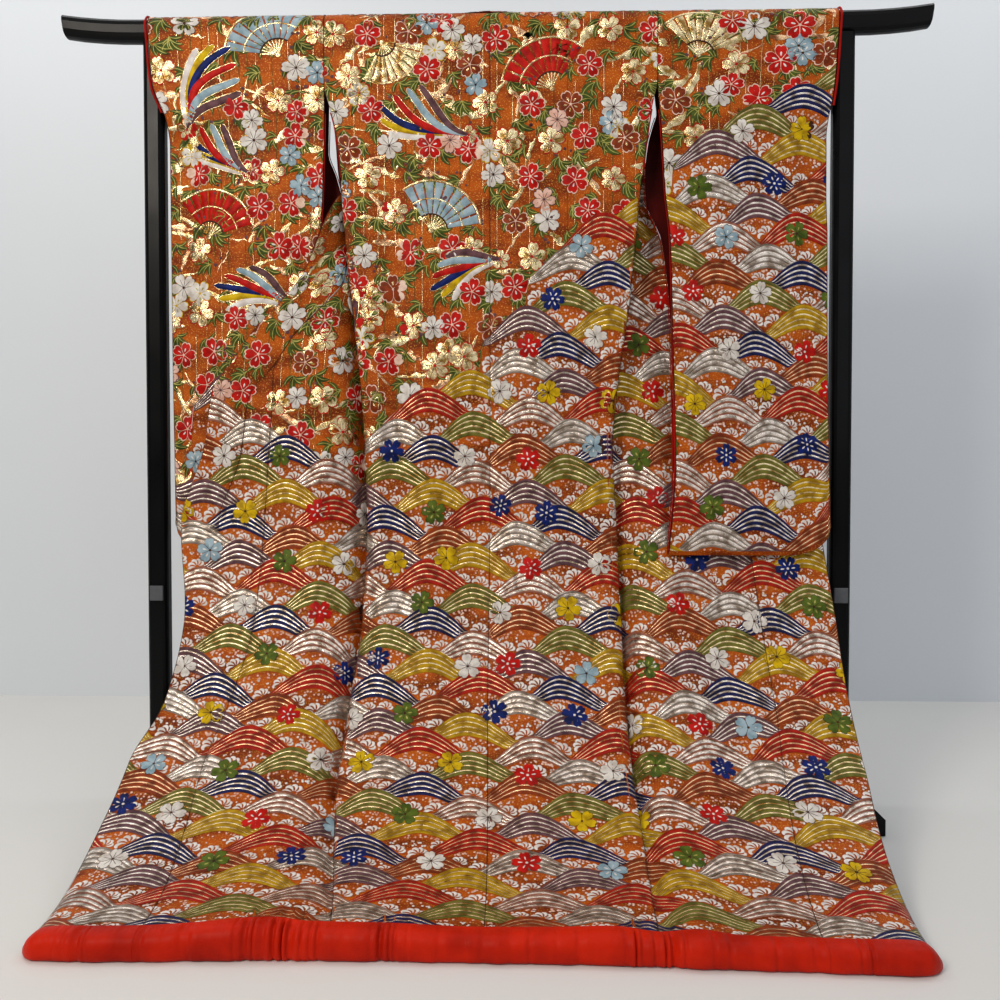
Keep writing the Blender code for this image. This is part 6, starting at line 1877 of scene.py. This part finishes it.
@dataclass
class Sleeve:
    """A hanging sleeve: a bag over the rod, open at the cuff above and all down its inner edge."""

    drape: Drape
    side: int
    word: str
    walls: ClothWalls = ClothWalls()
    end_gap: float = 0.0040
    cuff_end_s: float = 0.240
    edging_end_s: float = 0.185
    bottom_s: float = 1.030
    corner_width: float = 0.080
    corner_rise: float = 0.048
    rounding_s: float = 0.820
    heel: float = 0.022
    closing_share: float = 0.50
    last_drop: float = 1.0225
    flat: tuple[float, float] = (0.340, 2.09)
    rings: Array = field(init=False)
    cloth_u: Array = field(init=False)
    cloth_v: Array = field(init=False)
    back: ClothGrid = field(init=False)
    front: ClothGrid = field(init=False)
    cuff_rows: Array = field(init=False)

    def __post_init__(self) -> None:
        """Lay out the bag's rings, each from the bottom up the back, over the rod and down the front."""
        stops = stops_across(0.30)
        drops = np.concatenate([np.linspace(self.drape.shoulder_s, 0.985, 108),
                                (0.993, 1.000, 1.007, 1.013, 1.018),
                                [self.last_drop]])
        arc = np.linspace(-90.0, 90.0, 13)[1:-1]
        down = self.point(stops[None, :], drops[:, None], -1.0), self.point(stops[None, :], drops[:, None],
                                                                            1.0)
        over = self.arc_point(stops[None, :], arc[:, None])
        low = self.point(stops, np.full_like(stops, self.bottom_s), 0.0)[None]
        arc_v = self.drape.shoulder_s - self.drape.rod_quarter * (1.0 + arc / 90.0)
        front_v = self.drape.shoulder_s - 2.0 * self.drape.rod_quarter
        up = self.crease(down[0], drops, stops, 1.0)[::-1]
        fore = self.crease(down[1], drops, stops, -1.0)
        self.rings = np.concatenate([up, over, fore, low])
        v = np.concatenate([drops[::-1], arc_v, front_v - drops + self.drape.shoulder_s, [self.bottom_s]])
        self.cloth_v = np.broadcast_to(v[:, None], self.rings.shape[:2])
        self.cloth_u = np.broadcast_to(self.side * (0.327 + 0.300 * stops), self.rings.shape[:2])
        count = len(drops)
        whole = ClothGrid(self.rings[:count + len(arc)], self.cloth_u[:count + len(arc)],
                          self.cloth_v[:count + len(arc)], -self.side, stops)
        self.back = whole.part(slice(0, count + len(arc)))
        fore_v = np.broadcast_to(drops[:, None], fore.shape[:2])
        self.front = ClothGrid(fore, self.cloth_u[:count], fore_v, -self.side, stops)
        self.cuff_rows = np.flatnonzero(drops[::-1] >= self.cuff_end_s)

    def table(self) -> Table:
        """The table of this side's sleeve."""
        return Table(SLEEVE_COLUMNS, LEFT_SLEEVE if self.side < 0 else RIGHT_SLEEVE)

    def bottom(self, share: Array) -> Array:
        """Drop of the bottom edge, round at the cuff's corner."""
        row = self.table().read(np.array([self.bottom_s]))
        turn = np.maximum(0.0, 1.0 - (1.0 - share) * (row["outer_x"] - row["inner_x"]) / self.corner_width)
        return self.bottom_s - self.corner_rise * (1.0 - np.sqrt(1.0 - turn * turn))

    def point(self, share: Array, drop: Array, half: float) -> Array:
        """World points of the bag, half -1 for its back and 1 for its front."""
        share, drop = np.broadcast_arrays(share, drop)
        bottom = self.bottom(share)
        span = (bottom - self.rounding_s) / (self.bottom_s - self.rounding_s)
        drop = np.where(drop > self.rounding_s, self.rounding_s + (drop - self.rounding_s) * span, drop)
        row = self.table().read(drop)
        x = row["inner_x"] + (row["outer_x"] - row["inner_x"]) * share
        x = x - row["tuck"] * max(0.0, half) * (1.0 - share) ** 2
        closing = ease(self.closing_share, 1.0, share) * ease(self.edging_end_s, self.cuff_end_s, drop)
        gap = row["gap"] + (self.end_gap - row["gap"]) * closing
        near = np.clip((bottom - drop) / self.heel, 0.0, 1.0)
        y = row["mid_y"] + half * gap * np.sqrt(1.0 - (1.0 - near) ** 2)
        z = self.drape.bend_z + self.drape.bend_s - drop
        return np.stack([self.side * x + self.drape.garment_x, y + self.drape.layout_y, z], -1)

    def arc_point(self, share: Array, angle: Array) -> Array:
        """World points where the bag passes over the rod."""
        share, angle = np.broadcast_arrays(share, angle)
        row = self.table().read(np.array([self.drape.shoulder_s]))
        x = row["inner_x"][0] + (row["outer_x"][0] - row["inner_x"][0]) * share
        turn = np.radians(angle)
        y = self.drape.over_rod_depth * np.sin(turn) + self.drape.layout_y
        return np.stack([self.side * x + self.drape.garment_x, y,
                         self.drape.rod_z + self.drape.over_rod_rise * np.cos(turn)], -1)

    def crease(self, points: Array, drops: Array, stops: Array, sign: float) -> Array:
        """Add the soft creases to one half of the bag; the cuff's closed edge stays as it is."""
        u = np.broadcast_to(self.side * (0.327 + 0.300 * stops), points.shape[:2])
        v = np.broadcast_to(drops[:, None], points.shape[:2])
        grid = ClothGrid(points, u, v, self.side * sign, stops)
        depth = crease_depth(SLEEVE_CREASES, u, v) * ease(0.0, 0.07, 1.0 - stops)
        depth = depth + 0.8 * seam_pucker(stops * 0.30, v, 0.5)
        grid.push(depth)
        return grid.points

    def build(self, brocade: bpy.types.Material, lining: bpy.types.Material) -> bpy.types.Object:
        """Make the bag and give it its thickness."""
        count, columns = self.rings.shape[:2]
        faces = [tuple(f) for f in grid_faces(count, columns, 0, self.side > 0)]
        corner = np.arange(count * columns).reshape(count, columns)
        first, last = corner[0], corner[-1]
        faces += list(zip(last[:-1], first[:-1], first[1:], last[1:]))
        # below the open cuff the bag's two outer edges are sewn to each other
        cuff = corner[:, -1]
        fronts = count - 2 - self.cuff_rows
        faces.append((cuff[-1], cuff[self.cuff_rows[0]], cuff[fronts[0]]))
        faces += list(zip(cuff[self.cuff_rows[:-1]], cuff[self.cuff_rows[1:]], cuff[fronts[1:]],
                          cuff[fronts[:-1]]))
        uvs = np.stack([self.cloth_u.ravel(), -self.cloth_v.ravel()], -1)
        bag = mesh_object("sleeve_bag_" + self.word, self.rings.reshape(-1, 3),
                          [tuple(int(k) for k in f) for f in faces],
                          (brocade, lining), None, uvs)
        bm = bmesh.new()
        bm.from_mesh(bag.data)
        bmesh.ops.recalc_face_normals(bm, faces=bm.faces)
        bm.to_mesh(bag.data)
        bm.free()
        thick = bag.modifiers.new("cloth", "SOLIDIFY")
        thick.thickness = self.walls.sleeve
        thick.offset = 0.0
        thick.material_offset = 1
        thick.material_offset_rim = 1
        graph = bpy.context.evaluated_depsgraph_get()
        mesh = bpy.data.meshes.new_from_object(bag.evaluated_get(graph))
        bpy.data.objects.remove(bag, do_unlink=True)
        piece = bpy.data.objects.new("cloth_sleeve_" + self.word, mesh)
        bpy.context.scene.collection.objects.link(piece)
        return piece


def tube(name: str, path: Array, radius: Union[float, Array], material: bpy.types.Material, sides: int = 12,
         wander: float = 0.12) -> bpy.types.Object:
    """Make a round roll of cloth along a path, slightly uneven along its length.

    Args:
        name: The piece's name.
        path: Points along its middle.
        radius: Its radius, the same all along or one at each point.
        material: Its material.
        sides: Corners round it.
        wander: How much its radius changes.

    Returns:
        The piece.
    """
    ahead = unit(np.gradient(path, axis=0))
    up = unit(np.cross(ahead, np.array([1.0, 0.35, 0.2])))
    aside = np.cross(ahead, up)
    turn = np.linspace(0.0, 2.0 * math.pi, sides, endpoint=False)
    k = np.arange(len(path))
    size = radius * (1.0 - wander * (0.5 + 0.5 * np.sin(0.9 * k) * np.sin(0.37 * k + 1.0)))
    ring = (np.cos(turn)[None, :, None] * up[:, None, :] + np.sin(turn)[None, :, None] * aside[:, None, :])
    points = path[:, None, :] + ring * size[:, None, None]
    count = len(path) * sides
    faces = []
    for i in range(len(path) - 1):
        for j in range(sides):
            m = (j + 1) % sides
            faces.append((i * sides + j, (i + 1) * sides + j, (i + 1) * sides + m, i * sides + m))
    faces.append(tuple(range(sides)))
    faces.append(tuple(range(count - 1, count - sides - 1, -1)))
    return mesh_object(name, points.reshape(-1, 3), faces, (material,))


def even_path(points: Array, step: float) -> Array:
    """Read a smooth path at even steps.

    Args:
        points: Points of the path.
        step: Distance between the steps.

    Returns:
        Points at even steps.
    """
    lengths = np.concatenate([[0.0], np.cumsum(np.linalg.norm(np.diff(points, axis=0), axis=1))])
    at = np.linspace(0.0, lengths[-1], max(3, round(lengths[-1] / step)))
    return np.stack([np.interp(at, lengths, points[:, axis]) for axis in range(3)], -1)


@dataclass
class Edgings:
    """The red lining rolled out at the cuffs, down the sleeves' open edges and down the side vents."""

    drape: Drape
    cuff_radius: float = 0.0025
    opening_radius: float = 0.0020
    turned_radius: float = 0.0009
    vent_radius: float = 0.0011
    wall: float = 0.0025
    step: float = 0.005

    def cuff(self, sleeve: Sleeve, silk: bpy.types.Material) -> bpy.types.Object:
        """Roll round the open part of a cuff."""
        out = self.wall / 2.0 + self.drape.seam_gap + self.cuff_radius
        drops = np.linspace(self.drape.shoulder_s, sleeve.edging_end_s, 24)
        angles = np.linspace(-90.0, 90.0, 15)[1:-1]
        one = np.ones(1)
        lift = np.stack([np.zeros_like(angles), np.sin(np.radians(angles)), np.cos(np.radians(angles))], -1)
        parts = [sleeve.point(one, drops[::-1], -1.0), sleeve.arc_point(one, angles) + lift * 0.0020,
                 sleeve.point(one, drops, 1.0)]
        path = np.concatenate(parts) + np.array([sleeve.side * out, 0.0, 0.0])
        return tube("roll_cuff_" + sleeve.word, even_path(path, self.step), self.cuff_radius, silk)

    def opening(self, sleeve: Sleeve, silk: bpy.types.Material) -> bpy.types.Object:
        """Roll down the open inner edge of a sleeve, round its bottom and up again."""
        out = self.drape.seam_gap + self.opening_radius
        drops = np.concatenate([np.linspace(0.190, 0.985, 90), (0.993, 1.000, 1.007, 1.013, 1.018, 1.022)])
        zero = np.zeros(1)
        low = sleeve.point(zero, np.array([sleeve.bottom_s]), 0.0)
        path = np.concatenate([sleeve.point(zero, drops, -1.0), low, sleeve.point(zero, drops[::-1], 1.0)])
        path = even_path(path - np.array([sleeve.side * out, 0.0, 0.0]), self.step)
        # The lining shows most low down, and is turned well in above that and round the bottom.
        shows = ease(0.61, 0.68, path[:, 2]) * (1.0 - ease(0.78, 0.84, path[:, 2]))
        radius = self.turned_radius + (self.opening_radius - self.turned_radius) * shows
        return tube("roll_sleeve_opening_" + sleeve.word, path, radius, silk)

    def vent(self, panel: BodyPanel, silk: bpy.types.Material) -> bpy.types.Object:
        """Roll down the back's open side edge between the armhole and the side seam."""
        s = np.linspace(0.190, 0.312, 26)
        line = self.drape.back_curves(panel.side, s)[0]
        ahead = unit(line[:, -1] - line[:, -2])
        at = line[:, -1] + ahead * (self.drape.seam_gap + self.vent_radius)
        path = self.drape.cloth_point(panel.side * at[:, 0], s, at[:, 1])
        return tube("roll_vent_" + panel.word, path, self.vent_radius, silk)


@dataclass
class HemRoll:
    """One stretch of the padded hem: satin over wadding, drawn into small gathers, flat on the floor."""

    drape: Drape
    word: str
    start: float
    end: float
    depth: float = 0.036
    step: float = 0.0016
    stands_out: float = 0.0012
    section: tuple[tuple[float, float], ...] = (
        (0.0, 0.12), (0.05, 0.0), (0.20, 0.0), (0.50, 0.0), (0.78, 0.0), (0.88, 0.05), (0.955, 0.15),
        (0.99, 0.28), (1.0, 0.42), (0.985, 0.56), (0.945, 0.68), (0.88, 0.79), (0.79, 0.88), (0.67, 0.945),
        (0.53, 0.985), (0.38, 1.0), (0.24, 1.0), (0.10, 1.0), (0.025, 0.985), (0.0, 0.95), (0.0, 0.5))

    def gathers(self, x: Array) -> Array:
        """Depth of the gathers at x."""
        total = np.zeros_like(x)
        for values in GATHERS:
            row = dict(zip(GATHER_COLUMNS, values))
            inside = ease(row["start_x"], row["start_x"] + 0.02,
                          x) * (1.0 - ease(row["end_x"] - 0.02, row["end_x"], x))
            uneven = x + 0.0022 * np.sin(x * 173.0) + 0.0016 * np.sin(x * 311.0 + 2.0)
            turn = 2.0 * math.pi * (uneven - row["start_x"]) / row["pitch"]
            strength = 0.65 + 0.35 * np.sin(x * 97.0 + 1.0)
            total = total + row["depth"] * inside * strength * (0.5 - 0.5 * np.cos(turn)) ** 2.2
        return total

    def build(self, satin: bpy.types.Material) -> bpy.types.Object:
        """Make the roll."""
        x = np.linspace(self.start, self.end, max(8, round((self.end - self.start) / self.step)))
        row = self.drape.hem.read(x)
        drawn = self.gathers(x)
        slack = 0.0016 * np.sin(x * 47.0) * np.sin(x * 23.0 + 1.0) - 0.0010 * np.abs(np.sin(x * 71.0 + 0.6))
        depth = self.depth * row["fill"] - 0.5 * drawn + slack
        crest = row["crest"] + self.stands_out * row["fill"]
        section = np.array(self.section)
        # The gathers begin in front of the seam, where the roll stays level with the brocade.
        sunk = ease(0.02, 0.20, section[:, 0]) * (0.35 + 0.65 * section[:, 1])
        pull = 1.0 - (drawn / crest)[:, None] * sunk[None, :]
        y = self.drape.layout_y - self.drape.over_rod_depth - self.drape.bend_radius - self.drape.seam_gap
        y = (y - row["swing"])[:, None]
        points = np.stack([np.broadcast_to(x[:, None] + self.drape.garment_x, (len(x), len(section))),
                           y - depth[:, None] * section[None, :, 0] * pull,
                           crest[:, None] * section[None, :, 1] * pull], -1)
        sides = len(section)
        faces = []
        for i in range(len(x) - 1):
            for j in range(sides):
                m = (j + 1) % sides
                faces.append((i * sides + j, i * sides + m, (i + 1) * sides + m, (i + 1) * sides + j))
        faces.append(tuple(range(sides - 1, -1, -1)))
        faces.append(tuple(range((len(x) - 1) * sides, len(x) * sides)))
        return mesh_object("padded_hem_" + self.word, points.reshape(-1, 3), faces, (satin,), sharp=80.0)


@dataclass
class Stand:
    """The kimono stand, whose solids stay and are only finished."""

    lacquer: Lacquer = Lacquer()
    plate: PaintedPlate = PaintedPlate()

    def dress(self) -> None:
        """Give the stand's solids their lacquer and paint."""
        lacquer, plate = self.lacquer.build(), self.plate.build()
        for name in ("stand_rod", "stand_post_left", "stand_post_right", "stand_foot_left",
                     "stand_foot_right",
                     "stand_rail", "stand_joint_plate_left", "stand_joint_plate_right"):
            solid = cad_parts[name]
            for place in solid.material_slots:
                place.material = plate if "plate" in name else lacquer
            LOG.info("%s: finished", name)


# Soft lamps: name, place, what it is aimed at, size, power in watts and colour.
LAMPS = (
    ("key", (-1.6, -2.4, 2.3), (0.0, 0.1, 0.7), 0.9, 52.0, "#FFF6EA"),
    ("fill", (1.9, -2.2, 1.7), (0.0, 0.1, 0.6), 2.0, 13.0, "#F6F8FF"),
    ("top", (0.0, -0.6, 3.2), (0.0, 0.1, 0.4), 2.4, 16.0, "#FFFFFF"),
    ("wall_left", (-1.7, 0.50, 3.0), (-1.2, 1.15, 0.7), 1.6, 15.0, "#FFFFFF"),
    ("wall_right", (1.7, 0.50, 3.0), (1.2, 1.15, 0.7), 1.6, 15.0, "#FFFFFF"),
)


@dataclass
class Studio:
    """Pale floor and wall, soft light and the camera; none of it is part of the object."""

    floor: StudioPaint = StudioPaint("studio_floor", "#E4E3E0")
    wall: StudioPaint = StudioPaint("studio_wall", "#E8EDF2")
    eye: tuple[float, float, float] = (0.072, -1.6879, 0.645)
    yaw: float = 1.7
    pitch: float = 1.58
    focal: float = 36.0

    def plane(self, name: str, size: tuple[float, float], place: tuple[float, float, float], upright: bool,
              paint: StudioPaint) -> bpy.types.Object:
        """Add a flat plane to the stage."""
        w, d = size[0] / 2.0, size[1] / 2.0
        corners = [(-w, 0.0, -d), (w, 0.0, -d), (w, 0.0, d), (-w, 0.0, d)] if upright else \
            [(-w, -d, 0.0), (w, -d, 0.0), (w, d, 0.0), (-w, d, 0.0)]
        plane = mesh_object(name, np.array(corners) + np.array(place), [(0, 1, 2, 3)], (paint.build(),))
        return plane

    def lamp(self, name: str, place: tuple[float, float, float], aim: tuple[float, float, float],
             size: float,
             power: float, colour: str) -> None:
        """Add a soft square lamp."""
        data = bpy.data.lights.new(name, "AREA")
        data.size = size
        data.energy = power
        data.color = linear(colour)[:3]
        obj = bpy.data.objects.new(name, data)
        obj.location = place
        obj.rotation_euler = (Vector(aim) - Vector(place)).to_track_quat("-Z", "Y").to_euler()
        bpy.context.scene.collection.objects.link(obj)

    def build(self) -> None:
        """Set the stage, the lamps, the sky and the camera."""
        self.plane("floor", (9.0, 9.0), (0.0, 0.0, -0.0005), False, self.floor)
        self.plane("backdrop", (9.0, 6.0), (0.0, 1.15, 2.4), True, self.wall)
        for lamp in LAMPS:
            self.lamp(*lamp)
        world = bpy.data.worlds.new("studio_sky")
        world.use_nodes = True
        world.node_tree.nodes["Background"].inputs[0].default_value = linear("#D8DDE2")
        world.node_tree.nodes["Background"].inputs[1].default_value = 0.24
        bpy.context.scene.world = world
        # The plain transform keeps the silk's colours as deep as they are.
        bpy.context.scene.view_settings.view_transform = "Standard"
        data = bpy.data.cameras.new("camera")
        data.lens = self.focal
        data.sensor_width = 36.0
        data.dof.use_dof = False
        camera = bpy.data.objects.new("camera", data)
        camera.location = self.eye
        camera.rotation_euler = (math.radians(90.0 - self.pitch), 0.0, math.radians(self.yaw))
        bpy.context.scene.collection.objects.link(camera)
        bpy.context.scene.camera = camera


@dataclass
class Kimono:
    """The whole garment, piece by piece."""

    drape: Drape = Drape()
    hem_fill: float = 0.7

    def build(self) -> None:
        """Make and dress every sewn piece, and attach each in place of its CAD nodes."""
        brocade = BrocadeGround().build()
        # The lining silk is red like the edgings; its colour here is painted much darker, a deep maroon, as
        # painted shade inside the garment and on the cloth's rims.
        lining = RedSilk("lining_silk", "#520A06", "#360604").build()
        edging = RedSilk("edging_silk").build()
        satin = RedSilk("hem_satin", "#CC2206", "#A41604", 0.48, 0.10, 0.85).build()
        body = Weave(BODY_WAVE_TOP, 0.95, -0.16, self.drape.hem_s + 0.01, FANS, STREAMERS).shapes
        bags = Weave(SLEEVE_WAVE_TOP, 0.68, -0.04, 1.035, SLEEVE_FANS, SLEEVE_STREAMERS, 0.02, 8).shapes
        walls = ClothWalls()
        for side, word in ((-1, "left"), (1, "right")):
            panel = BodyPanel(self.drape, side, word)
            figures = [body.lay("woven_back_" + word, panel.back, walls.body_outer),
                       body.lay("woven_front_" + word, panel.front, walls.body_outer)]
            self.declare(panel.build(brocade, lining), "brocade", "body_panel_" + word, figures)
            overlap = OverlapPanel(self.drape, side, word)
            figures = [body.lay("woven_overlap_" + word, overlap.grid, walls.body_outer)]
            self.declare(overlap.build(brocade, lining), "brocade", "overlap_panel_" + word,
                         figures)
            sleeve = Sleeve(self.drape, side, word)
            figures = [bags.lay("woven_sleeve_back_" + word, sleeve.back, walls.sleeve / 2.0),
                       bags.lay("woven_sleeve_front_" + word, sleeve.front, walls.sleeve / 2.0)]
            self.declare(sleeve.build(brocade, lining), "brocade", "sleeve_" + word, figures)
            edgings = Edgings(self.drape)
            self.attach(edgings.cuff(sleeve, edging), "lining_silk", "cuff_edging_" + word)
            self.attach(edgings.opening(sleeve, edging), "lining_silk", "sleeve_opening_edging_" + word)
            self.attach(edgings.vent(panel, edging), "lining_silk", "side_vent_edging_" + word)
        collar = Collar(self.drape)
        figures = [body.lay("woven_collar_left", collar.left, walls.collar_outer),
                   body.lay("woven_collar_right", collar.right, walls.collar_outer)]
        self.declare(collar.build(brocade, lining), "collar_brocade", "collar", figures)
        half = self.drape.seam_gap / 2.0
        left, right = -LEFT_DOOR[-1][-1], RIGHT_DOOR[-1][-1]
        for word, start, end in (("left", HEM_ROLL[0][0], left - half),
                                 ("middle", left + half, right - half),
                                 ("right", right + half, HEM_ROLL[-1][0])):
            roll = HemRoll(self.drape, word, start, end).build(satin)
            self.attach(roll, "hem_satin", "hem_roll_" + word)

    def attach(self, piece: bpy.types.Object, slot: str, *nodes: str) -> None:
        """Put a piece on the root body in place of any CAD nodes named."""
        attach(piece, ROOT)
        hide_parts(*nodes)
        piece.data.calc_loop_triangles()
        LOG.info("%s: %d triangles", piece.name, len(piece.data.loop_triangles))

    def declare(self, piece: bpy.types.Object, slot: str, node: str,
                figures: Sequence[bpy.types.Object]) -> None:
        """Attach a piece and its figures."""
        self.attach(piece, slot, node)
        for figure in figures:
            self.attach(figure, slot)


def main() -> None:
    """Build the garment, finish the stand and set the studio."""
    logging.basicConfig(level=logging.INFO)
    Kimono().build()
    Stand().dress()
    Studio().build()


if __name__ == "__main__":
    main()
